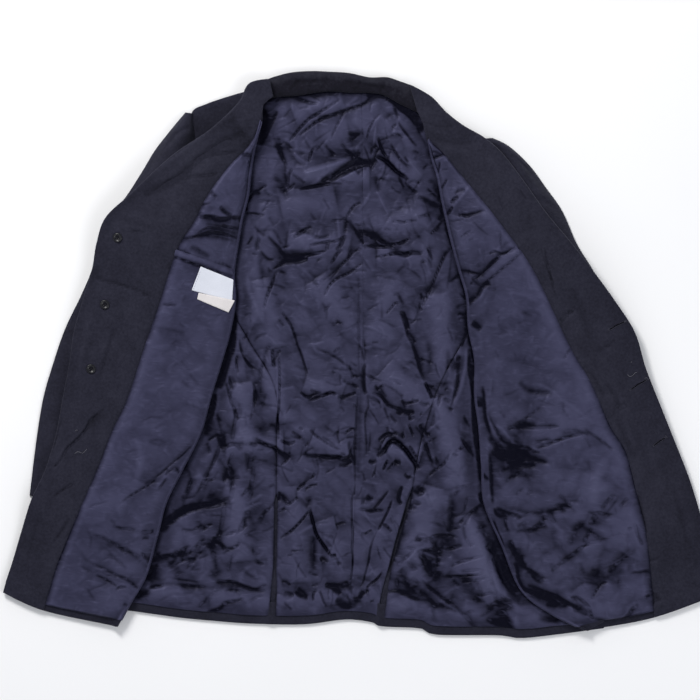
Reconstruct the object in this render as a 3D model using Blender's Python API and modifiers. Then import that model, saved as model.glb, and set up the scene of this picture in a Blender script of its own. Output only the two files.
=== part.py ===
"""A firefighter's dress jacket, lying open on its back with the lining up.

The back lies on the surface. Each front goes from its side seam in to a fold and out
again on top, over the sleeve, so it shows its lining and facing. The collar and the
lapels are folded under along their roll lines.

Lengths are in millimetres until a mesh is made. X runs across the jacket, Y from the
hem to the collar and Z up. Left and right are the wearer's, so the right front is at -X.
Lines run from the collar down to the hem.
"""
import math
from collections import namedtuple
from functools import lru_cache

import bpy
import numpy as np
from mathutils import Matrix, Vector
from mathutils.bvhtree import BVHTree

MM = 0.001

# ---------------------------------------------------------------- cloth and stack
WOOL = 2.0              # shell cloth with its canvas
LINING = 1.0
FACING = 1.6
LAPEL = 2.6             # shell and facing together
COLLAR_CLOTH = 2.7      # upper and under collar together
GAP = 0.3               # between pieces that are sewn or rest together
CLEAR = 0.4             # between layers that lie on each other
TURN_UP = 30.0          # depth of the hem that is turned up inside
LINING_HEM = 13.0       # the lining stops this far above the hem
VENT_HALF = 5.0         # half of the wool strip that shows at a side vent
UNDERLAP = 22.0         # the back lining goes on this far under a front's fold
WRAP = 12.0             # the front lining goes on this far below the fold
NECK_RAISE = 3.2        # the back rises over the collar fall at the neck
NECK_FROM = -190.0      # x where that rise starts
NECK_TO = 140.0         # and ends
ABOVE_RAISE = 1.3       # what lies on the back rises this much more than it
NECK_FADE = 55.0        # and the width of the slope at its ends
NECK_DEPTH = 46.0       # it is whole this far below the top line
NECK_SLOPE = 36.0       # and gone this much further down
HEM_SPARE = 4.0         # the lining rises over the turned-up hem this far above it
HEM_SLOPE = 22.0        # and the width of that slope
STEP_SPARE = 15.0       # the same for the front's hidden layer
STEP_SLOPE = 25.0
STACK_SPARE = 0.8       # room between the linings under a front's fold
BEND_FADE = 0.5         # share of the way from fold to seam that the bend's top reaches
ROOM_RISE = 1.4         # the room above a sleeve is whole at 1 over this share
LEVEL_LEAST = 0.6       # least shares of a hidden layer's width at which it is level
RAMP_LEAST = 0.3        # and at which its ramp starts
LAST_ROW_LENGTH = 65.5  # distance between a front's last two rows
BEND_INNER = 1.0        # inner radius of a front's fold
LOWER_LEVEL = 32.0      # the hidden layer is level this far from the fold
LOWER_RAMP = 40.0       # and comes down to the side panel over this distance
DRAPE_SLOPE = 0.25      # steepest fall of a front beside what it lies on
DRAPE_REACH = 18.0      # and how far it bridges level
FLOOR = 0.4             # lowest underside of a front that lies on the surface
LEFT_ROOM = 0.7         # between the left front and its sleeve
BUTTON_ROOM = 3.6       # between the right front and its sleeve, for the front buttons

# ---------------------------------------------------------------- fronts
# fold: where the front turns out; seam: facing to lining; edge: roll line, then free
# edge; side: shoulder seam, armhole (4 to 10) and side seam
Rib = namedtuple("Rib", "fold seam edge side")
RIGHT_FRONT = (
    Rib((-130, 373), (-131, 375), (-136, 400), (-146, 387)),
    Rib((-144, 361), (-146, 363), (-165, 393), (-164, 383)),
    Rib((-146, 338), (-148, 339), (-181, 365), (-190, 376)),
    Rib((-155, 303), (-165, 304), (-222, 326), (-226, 364)),
    Rib((-161, 268), (-196, 271), (-276, 289), (-248, 351)),
    Rib((-165, 232), (-225, 231), (-338, 232), (-246, 315)),
    Rib((-174, 196), (-244, 194), (-373, 199), (-242, 271)),
    Rib((-180, 160), (-265, 161), (-386, 162), (-241, 228)),
    Rib((-186, 120), (-281, 120), (-393, 123), (-244, 181)),
    Rib((-184, 80), (-294, 78), (-406, 80), (-249, 135)),
    Rib((-191, 36), (-309, 35), (-419, 35), (-255, 91)),
    Rib((-204, -10), (-325, -13), (-426, -14), (-276, 28)),
    Rib((-220, -62), (-342, -64), (-435, -61), (-293, -39)),
    Rib((-234, -112), (-365, -113), (-445, -115), (-307, -94)),
    Rib((-261, -167), (-384, -162), (-461, -167), (-319, -152)),
    Rib((-284, -213), (-406, -213), (-481, -210), (-331, -210)),
    Rib((-296, -258), (-426, -260), (-496, -258), (-342, -257)),
    Rib((-313, -319), (-444, -304), (-509, -302), (-357, -309)),
    Rib((-334, -357), (-454, -337), (-516, -323), (-364, -338)),
    Rib((-354, -394), (-463, -370), (-522, -344), (-371, -368)),
)
LEFT_FRONT = (
    Rib((80, 352), (79, 353), (68, 392), (77, 381)),
    Rib((88, 334), (88, 335), (99, 374), (94, 371)),
    Rib((93, 310), (95, 313), (120, 352), (117, 348)),
    Rib((99, 283), (116, 293), (146, 332), (144, 326)),
    Rib((107, 257), (139, 265), (174, 316), (170, 310)),
    Rib((113, 225), (161, 238), (200, 294), (194, 300)),
    Rib((120, 193), (187, 206), (228, 258), (206, 265)),
    Rib((128, 160), (209, 177), (265, 206), (212, 225)),
    Rib((138, 123), (232, 146), (300, 164), (218, 181)),
    Rib((149, 84), (254, 109), (332, 123), (225, 136)),
    Rib((152, 39), (278, 58), (364, 80), (235, 90)),
    Rib((161, -7), (303, 6), (394, 33), (246, 36)),
    Rib((161, -58), (331, -42), (410, -19), (258, -19)),
    Rib((167, -106), (358, -103), (428, -65), (271, -72)),
    Rib((171, -161), (381, -142), (452, -125), (284, -130)),
    Rib((175, -216), (397, -203), (474, -181), (299, -188)),
    Rib((200, -276), (409, -251), (492, -239), (313, -246)),
    Rib((228, -341), (416, -300), (508, -293), (329, -309)),
    Rib((270, -375), (420, -341), (515, -319), (339, -349)),
    Rib((320, -400), (423, -380), (522, -344), (349, -386)),
)

# ---------------------------------------------------------------- back and sides
TOP_LINE = (
    (-250, 349), (-200, 369), (-150, 374), (-126, 377), (-94, 382), (-45, 387), (6, 385),
    (29, 381), (51, 372), (77, 366), (94, 366), (117, 345), (144, 323), (170, 308),
    (196, 299),
)
HEM_LINE = (
    (-374, -371), (-342, -371), (-268, -381), (-216, -386), (-161, -390), (-86, -391),
    (-25, -384), (13, -388), (28, -394), (84, -397), (106, -406), (196, -407),
    (229, -411), (287, -405), (354, -396),
)
CENTRE_LINE = ((-2, 390), (0, 240), (0, 60), (-4, -51), (-12, -196), (-16, -334), (-17, -395))
RIGHT_SEAM_LINE = (
    (-232, 180), (-223, 135), (-202, 83), (-167, 22), (-128, -48), (-125, -123),
    (-126, -199), (-129, -334), (-134, -395),
)
LEFT_SEAM_LINE = (
    (211, 165), (203, 120), (181, 75), (145, 19), (108, -51), (86, -120), (71, -193),
    (49, -270), (33, -335), (23, -400),
)
ARMHOLE_TO_SIDE = 170.0     # y where the side panels start, low in the armholes
LOWER_START = -240.0        # y below which rows bend to the hem's line
VENT_TOP = -196.0           # y of the top of the side vents
VENT_SLOPE = 25.0           # the strip reaches its width over this distance
CENTRE_INSET = 0.2          # of each half of the back from the centre seam
ARMHOLE_SPARE = 1.0         # the row on the armhole's lowest point counts as below it

# ---------------------------------------------------------------- sleeves
# inner_y: on the armhole or beside the body; slack: distance from it; height: of the arch
SleeveRib = namedtuple("SleeveRib", "inner_y slack outer height")
RIGHT_SLEEVE = (
    SleeveRib(350, 0.8, (-258, 352), 7),
    SleeveRib(326, 0.8, (-278, 328), 20),
    SleeveRib(297, 0.8, (-302, 297), 25),
    SleeveRib(261, 0.8, (-322, 264), 25),
    SleeveRib(225, 0.8, (-347, 226), 23),
    SleeveRib(178, 0.8, (-371, 200), 19),
    SleeveRib(130, 0.8, (-386, 164), 16),
    SleeveRib(91, 1.0, (-393, 126), 14),
    SleeveRib(48, 1.5, (-409, 87), 12),
    SleeveRib(-4, 1.5, (-432, 39), 11),
    SleeveRib(-58, 2.0, (-449, -10), 10),
    SleeveRib(-112, 2.5, (-464, -62), 9),
    SleeveRib(-170, 2.5, (-474, -123), 9),
    SleeveRib(-231, 2.5, (-484, -204), 9),
)
LEFT_SLEEVE = (
    SleeveRib(298, 0.8, (209, 303), 7),
    SleeveRib(276, 0.8, (241, 276), 18),
    SleeveRib(242, 0.8, (264, 245), 24),
    SleeveRib(207, 0.8, (289, 209), 26),
    SleeveRib(167, 0.8, (310, 162), 25),
    SleeveRib(126, 0.8, (331, 128), 23),
    SleeveRib(83, 1.0, (352, 91), 21),
    SleeveRib(33, 1.5, (378, 54), 19),
    SleeveRib(-19, 1.5, (393, 4), 18),
    SleeveRib(-72, 2.0, (403, -48), 17),
    SleeveRib(-130, 2.0, (419, -102), 16),
    SleeveRib(-188, 2.5, (436, -158), 15),
    SleeveRib(-251, 2.5, (452, -228), 14),
)
ARCH_POWER = 0.75
ARCH_SPREAD = 1.4       # the wall's own thickness spreads the arch's foot by this

# ---------------------------------------------------------------- collar and lapels
CollarRib = namedtuple("CollarRib", "crease seam")
COLLAR = (
    CollarRib((-131, 403), (-126, 375)),
    CollarRib((-104, 410), (-94, 377)),
    CollarRib((-75, 412), (-70, 381)),
    CollarRib((-48, 411), (-45, 383)),
    CollarRib((-19, 409), (-17, 381)),
    CollarRib((9, 403), (6, 381)),
    CollarRib((35, 403), (29, 378)),
    CollarRib((54, 397), (51, 366)),
    CollarRib((64, 393), (74, 356)),
)
STAND_LOW = 8.4         # underside of the stand at the neck seam
STAND_HIGH = 11.0        # and at the crease
FALL_PAST_SEAM = 16.0   # the fall goes this far past the neck seam, under the back
LapelRow = namedtuple("LapelRow", "rib width")
RIGHT_LAPEL = (
    LapelRow(1.2, 20), LapelRow(2.0, 22), LapelRow(3.0, 40), LapelRow(4.0, 76),
    LapelRow(5.0, 62), LapelRow(6.0, 36), LapelRow(6.9, 8),
)
LEFT_LAPEL = (
    LapelRow(1.2, 20), LapelRow(2.0, 26), LapelRow(3.2, 44), LapelRow(4.6, 74),
    LapelRow(6.0, 64), LapelRow(7.4, 40), LapelRow(8.8, 8),
)
LAPEL_CLEAR = 1.4       # above the sleeve's arch, which bulges between the lapel's points
ROLL_INSET = 1.5        # the lapel's fold stays this far inside the roll line

# ---------------------------------------------------------------- largest lining folds
# A ridge from start to end; height at its middle and half width, all in millimetres
Fold = namedtuple("Fold", "start end height width")
BACK_FOLDS = (
    Fold((-100, 345), (-30, 372), 3.5, 16),
    Fold((-118, 300), (-20, 322), 4.0, 20),
    Fold((-112, 262), (10, 262), 6.0, 20),
    Fold((20, 292), (80, 250), 5.0, 20),
    Fold((-120, 215), (-40, 232), 4.0, 20),
    Fold((-110, 168), (-20, 152), 6.0, 20),
    Fold((15, 180), (95, 205), 5.0, 20),
    Fold((20, 150), (95, 148), 4.5, 18),
    Fold((-150, 110), (-128, 10), 5.0, 18),
    Fold((-70, 110), (-20, 40), 4.0, 20),
    Fold((40, 110), (20, 10), 3.5, 20),
    Fold((110, 90), (118, -40), 5.0, 18),
    Fold((-178, -40), (-170, -130), 6.0, 18),
    Fold((-140, 10), (-118, -100), 5.0, 16),
    Fold((-85, -40), (-30, -58), 4.0, 16),
    Fold((30, -20), (95, -78), 5.0, 20),
    Fold((-200, -133), (-115, -130), 8.0, 16),
    Fold((-75, -122), (-20, -142), 5.0, 16),
    Fold((28, -128), (82, -150), 9.0, 18),
    Fold((110, -60), (140, -190), 7.0, 18),
    Fold((-190, -180), (-180, -300), 6.0, 20),
    Fold((-100, -190), (-92, -330), 5.0, 18),
    Fold((-60, -240), (-30, -330), 5.0, 18),
    Fold((0, -210), (-8, -320), 4.0, 16),
    Fold((100, -190), (60, -330), 7.0, 22),
    Fold((150, -230), (190, -360), 7.0, 22),
    Fold((110, -300), (220, -330), 5.0, 20),
)
FOLD_FULL = 0.6         # a fold keeps this share of its rise at its ends
FOLD_RISE = 4.0         # and is whole after 1 over this share of its length
BILLOW = 2.2            # the lining stands this far off the shell between its folds
TOP_FLAT = 6.0          # and lies flat this near the neck seam
LAST_FOLD_ROW = 14.0    # its last row with folds is this far above its hem
FOLD_MARGIN = 16.0      # the lining is flat this near a front's fold
NARROWEST = 10.0        # the side lining starts where it is this wide
FADE = 26.0             # folds fade over this distance towards an edge or a front
FRONT_FOLDS = (
    Fold((-190, 205), (-225, 200), 5.0, 14),
    Fold((150, 170), (185, 195), 4.0, 18),
    Fold((245, -95), (300, -105), 5.0, 22),
    Fold((180, -215), (350, -222), 4.0, 22),
    Fold((240, -290), (330, -300), 4.0, 22),
    Fold((-300, -240), (-380, -215), 3.0, 20),
)

# ---------------------------------------------------------------- small pieces
# profiles: shares of a button's radius and thickness, from its middle round to its back
BACKING_RADIUS = 7.0
BACKING_THICK = 2.4
BACKING_PROFILE = ((0.0, 0.55), (0.5, 0.55), (0.66, 1.0), (0.9, 0.9), (1.0, 0.5), (0.92, 0.0),
                   (0.0, 0.0))
BACKING_PLACES = ((-355, 170), (-374, 73), (-394, -20))
FRONT_RADIUS = 11.5
FRONT_THICK = 2.6
FRONT_PROFILE = ((0.0, 1.0), (0.5, 0.9), (0.94, 0.55), (1.0, 0.25), (0.94, 0.0), (0.0, 0.0))
FRONT_PLACES = ((-355, 170), (-374, 73), (-394, -20), (-415, -109))
# a strip's corners: two along its first long side, then two back along the second
RIGHT_POCKET = ((-273, 144), (-189, 114.5), (-188, 124.5), (-271, 153))
LEFT_POCKET = ((172, 103), (227, 150), (221, 158), (164, 110))
WHITE_LABEL = ((-248, 94), (-190, 82), (-188, 109), (-235, 128))
CREAM_LABEL = ((-240, 81), (-195, 62), (-186, 79), (-238, 90))
POCKET_WELT = 1.2
PATCH_AROUND = 7.0      # a patch rests on the highest point this near
LABEL = 1.0

# ---------------------------------------------------------------- mesh densities
FRONT_ROWS = 19
LOWER_POINTS = 3        # the hidden layer has this many points before the bend
BEND_COLUMNS = 3
LINING_COLUMNS = 3
FACING_COLUMNS = 3
UPPER_ROWS = 5
MIDDLE_ROWS = 8
HEM_ROWS = 3
BACK_COLUMNS = 5
SIDE_COLUMNS = 3
BACK_LINING_COLUMNS = 7
SIDE_LINING_COLUMNS = 5
SLEEVE_ROWS = 12
SLEEVE_COLUMNS = 6
COLLAR_ROWS = 10
COLLAR_BEND = 4
LAPEL_ROWS = 8
LAPEL_COLUMNS = 3
DENSE_COLUMNS = 8       # of the layers that others are laid on
ROUND_STEPS = 14
LINE_SAMPLES = 14       # points for each given point of a line
ROW_ROUNDS = 6          # of the search for a point on a row
ALONG_STEP = 0.05       # rows, for the direction of an edge
RAY_START = 200.0       # above or below everything

# wool, lining and plain colours: red, green, blue, then roughness
NAVY_WOOL = (0.020, 0.021, 0.034, 0.9)
NAVY_LINING = (0.050, 0.052, 0.105, 0.45)
WHITE_SATIN = (0.78, 0.80, 0.84, 0.5)
CREAM_CLOTH = (0.76, 0.73, 0.70, 0.7)
DARK_PLASTIC = (0.01, 0.01, 0.012, 0.2)


# ---------------------------------------------------------------- curves and lines
def smooth(points, t):
    """A Catmull-Rom curve through the points; t counts them from 0."""
    last = len(points) - 1
    i = min(max(int(t), 0), last - 1)
    f = t - i
    p0, p1, p2, p3 = (np.array(points[k], float)
                      for k in (max(i - 1, 0), i, i + 1, min(i + 2, last)))
    return 0.5 * (2 * p1 + (p2 - p0) * f + (2 * p0 - 5 * p1 + 4 * p2 - p3) * f ** 2
                  + (3 * p1 - p0 - 3 * p2 + p3) * f ** 3)


@lru_cache(maxsize=None)
def sampled(line):
    """The smooth line as many close points."""
    shares = np.linspace(0, len(line) - 1, LINE_SAMPLES * len(line))
    return np.array([smooth(line, t) for t in shares])


def x_on(line, y):
    """Where a line that runs down the jacket has this y."""
    points = sampled(line)[::-1]
    return float(np.interp(y, points[:, 1], points[:, 0]))


def y_on(line, x):
    """Where a line that runs across the jacket has this x."""
    points = sampled(line)
    return float(np.interp(x, points[:, 0], points[:, 1]))


def ease(value):
    """0 below 0, 1 above 1 and a smooth step between."""
    value = min(max(value, 0.0), 1.0)
    return value * value * (3 - 2 * value)


def ridges(folds, x, y):
    """Height of the folds at a point: round ridges that fade out at both ends."""
    total = 0.0
    point = np.array((x, y), float)
    for fold in folds:
        start = np.array(fold.start, float)
        along = np.array(fold.end, float) - start
        f = float(np.dot(point - start, along) / np.dot(along, along))
        nearest = start + along * min(max(f, 0.0), 1.0)
        away = float(np.linalg.norm(point - nearest)) / fold.width
        inside = max(min(f, 1 - f), 0.0)
        ends = ease(inside * FOLD_RISE + FOLD_FULL)
        total += fold.height * ends * math.exp(-away * away)
    return total


def neck_raise(y, x):
    """How far the back is lifted over the collar fall."""
    across = ease((x - NECK_FROM) / NECK_FADE) * ease((NECK_TO - x) / NECK_FADE)
    return NECK_RAISE * across * (1 - ease((y_on(TOP_LINE, x) - y - NECK_DEPTH) / NECK_SLOPE))


def hem_raise(y, x):
    """How far the lining is lifted over the turned-up hem."""
    above = y - y_on(HEM_LINE, x) - TURN_UP
    return (WOOL + GAP) * (1 - ease((above - HEM_SPARE) / HEM_SLOPE))


# ---------------------------------------------------------------- meshes
def principled(name, color):
    material = bpy.data.materials.new(name)
    material.use_nodes = True
    shader = material.node_tree.nodes["Principled BSDF"]
    shader.inputs["Base Color"].default_value = (*color[:3], 1.0)
    shader.inputs["Roughness"].default_value = color[3]
    shader.inputs["Metallic"].default_value = 0.0
    return material


def new_object(name, mesh, color):
    mesh.materials.append(principled(name, color))
    item = bpy.data.objects.new(name, mesh)
    bpy.data.collections["dress_jacket"].objects.link(item)
    return item


def quads(rows, columns, sign):
    faces = []
    for i in range(rows - 1):
        for j in range(columns - 1):
            a = i * columns + j
            face = (a, a + 1, a + 1 + columns, a + columns)
            faces.append(face if sign > 0 else face[::-1])
    return faces


def cloth(name, grid, thickness, sign, color):
    """A wall on a grid of points; it grows to the side that sign gives."""
    rows, columns, _ = grid.shape
    mesh = bpy.data.meshes.new(name)
    mesh.from_pydata((grid.reshape(-1, 3) * MM).tolist(), [], quads(rows, columns, sign))
    item = new_object(name, mesh, color)
    wall = item.modifiers.new("wall", "SOLIDIFY")
    wall.thickness = thickness * MM
    wall.offset = 1.0
    wall.use_rim = True
    return item


def moved_out(grid, distance, sign):
    """The grid's points moved along the normals that its wall grows along."""
    rows, columns, _ = grid.shape
    mesh = bpy.data.meshes.new("normals")
    mesh.from_pydata(grid.reshape(-1, 3).tolist(), [], quads(rows, columns, sign))
    normals = np.array([vertex.normal for vertex in mesh.vertices]).reshape(grid.shape)
    bpy.data.meshes.remove(mesh)
    return grid + normals * distance


def surface(grid, sign):
    """A search tree of a grid, for what lies on it."""
    rows, columns, _ = grid.shape
    points = [Vector(point) for point in grid.reshape(-1, 3)]
    return BVHTree.FromPolygons(points, quads(rows, columns, sign))


def highest(trees, x, y, around):
    """The highest place met on a small ring and at its middle."""
    ring = [(x, y)] + [(x + around * math.cos(a), y + around * math.sin(a))
                       for a in np.linspace(0, 2 * math.pi, 9)[:-1]]
    places = [meet(trees, *point)[0] for point in ring]
    return max(place.z for place in places if place is not None)


def meet(trees, x, y, direction=-1.0):
    """The first point and normal met by looking down (or up) at a place."""
    start = Vector((x, y, -direction * RAY_START))
    hits = [tree.ray_cast(start, Vector((0, 0, direction))) for tree in trees]
    hits = [hit for hit in hits if hit[0] is not None]
    if not hits:
        return None, None
    place, normal, _, _ = min(hits, key=lambda hit: hit[3])
    return place, normal


# ---------------------------------------------------------------- back and sides
def panel_rows(with_upper):
    """Row heights as functions of x, shared by every panel so that seams match."""
    rows = []
    if with_upper:
        for k in range(UPPER_ROWS):
            share = k / UPPER_ROWS
            rows.append(lambda x, share=share: (1 - share) * y_on(TOP_LINE, x)
                        + share * ARMHOLE_TO_SIDE)
    for k in range(MIDDLE_ROWS):
        level = ARMHOLE_TO_SIDE + (LOWER_START - ARMHOLE_TO_SIDE) * k / MIDDLE_ROWS
        rows.append(lambda x, level=level: level)
    for k in range(HEM_ROWS + 1):
        share = k / HEM_ROWS
        rows.append(lambda x, share=share: (1 - share) * LOWER_START
                    + share * (y_on(HEM_LINE, x) + WOOL))
    return rows


def on_row(row, inner, outer, u):
    """The point of a row at the fraction u from its inner to its outer line."""
    x = 0.5 * (inner(0) + outer(0))
    y = row(x)
    for _ in range(ROW_ROUNDS):
        x = (1 - u) * inner(y) + u * outer(y)
        y = row(x)
    return x, y


def shell_panel(name, inner, outer, sign, columns, with_upper):
    """A back or side panel: its upper surface, with the hem turned up onto it."""
    rows = panel_rows(with_upper)
    shares = np.linspace(0, 1, columns + 1)
    grid = []
    for row in rows:
        points = [on_row(row, inner, outer, u) for u in shares]
        grid.append([(x, y, WOOL + neck_raise(y, x)) for x, y in points])
    hem = grid[-1]
    bend = GAP / 2
    grid.append([(x, y - bend, WOOL + bend) for x, y, _ in hem])
    grid.append([(x, y, WOOL + GAP) for x, y, _ in hem])
    grid.append([(x, y + TURN_UP, WOOL + GAP) for x, y, _ in hem])
    cloth(name, np.array(grid), WOOL, -sign, NAVY_WOOL)


def wide_enough(row, inner, outer, sign):
    """Whether a row of a side lining shows at all."""
    y = row(0.0)
    return sign * (inner(y) - outer(y)) > NARROWEST


def lining_panel(name, inner, outer, sign, columns, with_upper, fold_line):
    """Lining on a panel, gathered into folds, which fade out below the front."""
    rows = panel_rows(with_upper)
    extra = 1 if with_upper else 0
    dense = []
    for k, row in enumerate(rows[:-1]):
        following = rows[k + 1]
        dense.append(row)
        if k >= extra:
            dense.append(lambda x, a=row, b=following: 0.5 * (a(x) + b(x)))
    dense[-1] = lambda x: y_on(HEM_LINE, x) + LINING_HEM + LAST_FOLD_ROW
    dense.append(lambda x: y_on(HEM_LINE, x) + LINING_HEM)
    if not with_upper:
        dense = [row for row in dense if wide_enough(row, inner, outer, sign)]
    shares = np.linspace(0, 1, columns + 1)
    grid = []
    for row in dense:
        line = []
        for u in shares:
            x, y = on_row(row, inner, outer, u)
            under_front = ease((sign * (x - x_on(fold_line, y)) - FOLD_MARGIN) / FADE)
            from_hem = ease((y - y_on(HEM_LINE, x) - LINING_HEM) / FADE)
            from_top = ease((y_on(TOP_LINE, x) - y - TOP_FLAT) / FADE)
            open_part = under_front * from_hem * from_top
            height = WOOL + CLEAR + ABOVE_RAISE * neck_raise(y, x) + hem_raise(y, x)
            height += open_part * (BILLOW + ridges(BACK_FOLDS, x, y))
            line.append((x, y, height))
        grid.append(line)
    cloth(name, np.array(grid), LINING, sign, NAVY_LINING)


def back_and_sides(side, sign, ribs, seam_line):
    """Back panel, side panel and their linings on one side of the centre seam."""
    outward = -sign
    side_line = tuple(rib.side for rib in ribs[4:])
    fold_line = tuple(rib.fold for rib in ribs)

    def centre(y):
        return x_on(CENTRE_LINE, y) + outward * CENTRE_INSET

    def seam(y, inset):
        return x_on(seam_line, y) + outward * inset

    def back_outer(y, inset=-GAP / 2):
        if y > ARMHOLE_TO_SIDE + ARMHOLE_SPARE:
            return x_on(side_line, y) - outward * GAP / 2
        return seam(y, inset)

    def side_outer(y):
        return x_on(side_line, y) - outward * GAP / 2

    def under_fold(y):
        return x_on(fold_line, y) + outward * UNDERLAP

    def vent_inset(y):
        return GAP / 2 + VENT_HALF * ease((VENT_TOP - y) / VENT_SLOPE)

    def lining_outer(y):
        full = back_outer(y, -vent_inset(y))
        return max(full, under_fold(y)) if outward < 0 else min(full, under_fold(y))

    def side_lining_inner(y):
        return seam(y, vent_inset(y))

    shell_panel(f"back_{side}", centre, back_outer, sign, BACK_COLUMNS, True)
    shell_panel(f"side_{side}", lambda y: seam(y, GAP / 2), side_outer, sign,
                SIDE_COLUMNS, False)
    lining_panel(f"back_lining_{side}", centre, lining_outer, sign,
                 BACK_LINING_COLUMNS, True, fold_line)
    lining_panel(f"side_lining_{side}", side_lining_inner, under_fold, sign,
                 SIDE_LINING_COLUMNS, False, fold_line)


# ---------------------------------------------------------------- sleeves
def sleeve_grid(ribs, side_line, outward, rows, columns, thickness):
    """Underside of the arched upper sleeve, moved up by thickness."""
    grid = []
    knots = [(rib.inner_y, rib.slack, *rib.outer, rib.height) for rib in ribs]
    for k in range(rows + 1):
        inner_y, slack, outer_x, outer_y, height = smooth(knots, k / rows * (len(ribs) - 1))
        inner_x = x_on(side_line, inner_y) + outward * (ARCH_SPREAD + slack)
        line = []
        for u in np.linspace(0, 1, columns + 1):
            arch = math.sin(math.pi * u) ** ARCH_POWER if 0 < u < 1 else 0.0
            low = WOOL + CLEAR
            line.append(((1 - u) * inner_x + u * outer_x, (1 - u) * inner_y + u * outer_y,
                         low + (height - low) * arch + thickness))
        grid.append(line)
    return np.array(grid)


def sleeve(side, sign, ribs, front_ribs):
    """Upper and under sleeve; returns points on top of it for the front to lie on."""
    side_line = tuple(rib.side for rib in front_ribs[3:])
    upper = sleeve_grid(ribs, side_line, -sign, SLEEVE_ROWS, SLEEVE_COLUMNS, 0.0)
    cloth(f"upper_sleeve_{side}", upper, WOOL, sign, NAVY_WOOL)
    under = upper[:, ::2].copy()
    under[:, :, 2] = WOOL
    cloth(f"under_sleeve_{side}", under, WOOL, -sign, NAVY_WOOL)
    dense = sleeve_grid(ribs, side_line, -sign, 3 * SLEEVE_ROWS, 2 * SLEEVE_COLUMNS, WOOL)
    return dense.reshape(-1, 3)


# ---------------------------------------------------------------- fronts
def drape(supports, x, y):
    """Height at which cloth bridges what it lies on and falls off beside it."""
    distance = np.hypot(supports[:, 0] - x, supports[:, 1] - y)
    fall = DRAPE_SLOPE * np.maximum(0.0, distance - DRAPE_REACH)
    return max(float(np.max(supports[:, 2] - fall)), FLOOR)


def hem_step(y, x):
    """How far the turned-up hem lifts what lies on it."""
    above = y - y_on(HEM_LINE, x) - TURN_UP
    return (WOOL + GAP) * (1 - ease((above - STEP_SPARE) / STEP_SLOPE))


def lower_height(x, y, to_fold):
    """Top of the hidden layer: on the shell by the side, on the linings by the fold."""
    on_linings = min(max(1 - (to_fold - LOWER_LEVEL) / LOWER_RAMP, 0.0), 1.0)
    base = WOOL + CLEAR + ABOVE_RAISE * neck_raise(y, x) + hem_step(y, x)
    return base + (2 * LINING + CLEAR + GAP + STACK_SPARE) * on_linings + WOOL


def rib_at(ribs, t):
    return Rib(*(smooth([getattr(rib, name) for rib in ribs], t) for name in Rib._fields))


def bend_start(rib):
    """The middle of the fold's bend, inside the fold line by the whole stack."""
    outward = (rib.seam + rib.edge) / 2 - rib.fold
    outward /= np.linalg.norm(outward)
    return rib.fold + outward * (BEND_INNER + WOOL + GAP + LINING), outward


def lower_layer(ribs, rows, columns):
    """Top of the layer that is hidden below the turned-out front."""
    grid = []
    for k in range(rows + 1):
        rib = rib_at(ribs, k / rows * (len(ribs) - 1))
        middle, _ = bend_start(rib)
        grid.append(lower_points(rib.side, middle, np.linspace(0, 1, columns + 1)))
    return np.array(grid)


def lower_points(side_end, middle, shares):
    """Points of the hidden layer from its side edge in to the fold."""
    width = float(np.linalg.norm(side_end - middle))
    points = []
    for u in shares:
        x, y = side_end + (middle - side_end) * u
        points.append((x, y, lower_height(x, y, (1 - u) * width)))
    return points


def front_grid(ribs, supports, room):
    """Inner (wool) face of a front: hidden layer, bend and turned-out layer."""
    grid = []
    for k in range(FRONT_ROWS + 1):
        rib = rib_at(ribs, k / FRONT_ROWS * (len(ribs) - 1))
        middle, outward = bend_start(rib)
        width = float(np.linalg.norm(rib.side - middle))
        level = max(1 - LOWER_LEVEL / width, LEVEL_LEAST)
        ramp = max(1 - (LOWER_LEVEL + LOWER_RAMP) / width, RAMP_LEAST)
        line = lower_points(rib.side, middle, (0.0, ramp, level))
        low = lower_height(*middle, 0.0)
        for j in range(BEND_COLUMNS + 1):
            angle = math.pi * (j / BEND_COLUMNS - 0.5)
            x, y = middle - outward * BEND_INNER * math.cos(angle)
            line.append((x, y, low + BEND_INNER * (1 + math.sin(angle))))
        top = low + 2 * BEND_INNER
        shares = list(np.linspace(0, 1, LINING_COLUMNS + 1)[1:])
        shares += list(1 + np.linspace(0, 1, FACING_COLUMNS + 1)[1:])
        for share in shares:
            x, y = smooth((middle, rib.seam, rib.edge), share)
            near = max(0.0, 1 - share / BEND_FADE)
            height = drape(supports, x, y) + CLEAR + room * ease(share * ROOM_RISE)
            height += ridges(FRONT_FOLDS, x, y)
            line.append((x, y, max(height, top * near)))
        grid.append(line)
    return np.array(grid)


def lapel(side, sign, ribs, widths, supports):
    """The lapel, folded under the front; returns points on top of it."""
    edge = [rib.edge for rib in ribs]

    def rows(count, columns, thickness):
        grid = []
        for k in range(count + 1):
            t, width = smooth([(row.rib, row.width) for row in widths],
                              k / count * (len(widths) - 1))
            at = smooth(edge, t)
            along = smooth(edge, t + ALONG_STEP) - smooth(edge, t - ALONG_STEP)
            along /= np.linalg.norm(along)
            inward = sign * np.array((-along[1], along[0]))
            line = []
            for u in np.linspace(0, 1, columns + 1):
                x, y = at + inward * (ROLL_INSET + width * u)
                line.append((x, y, drape(supports, x, y) + LAPEL_CLEAR + thickness))
            grid.append(line)
        return np.array(grid)

    cloth(f"lapel_{side}", rows(LAPEL_ROWS, LAPEL_COLUMNS, 0.0), LAPEL, -sign,
          NAVY_WOOL)
    return rows(2 * LAPEL_ROWS, DENSE_COLUMNS, LAPEL).reshape(-1, 3)


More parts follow.
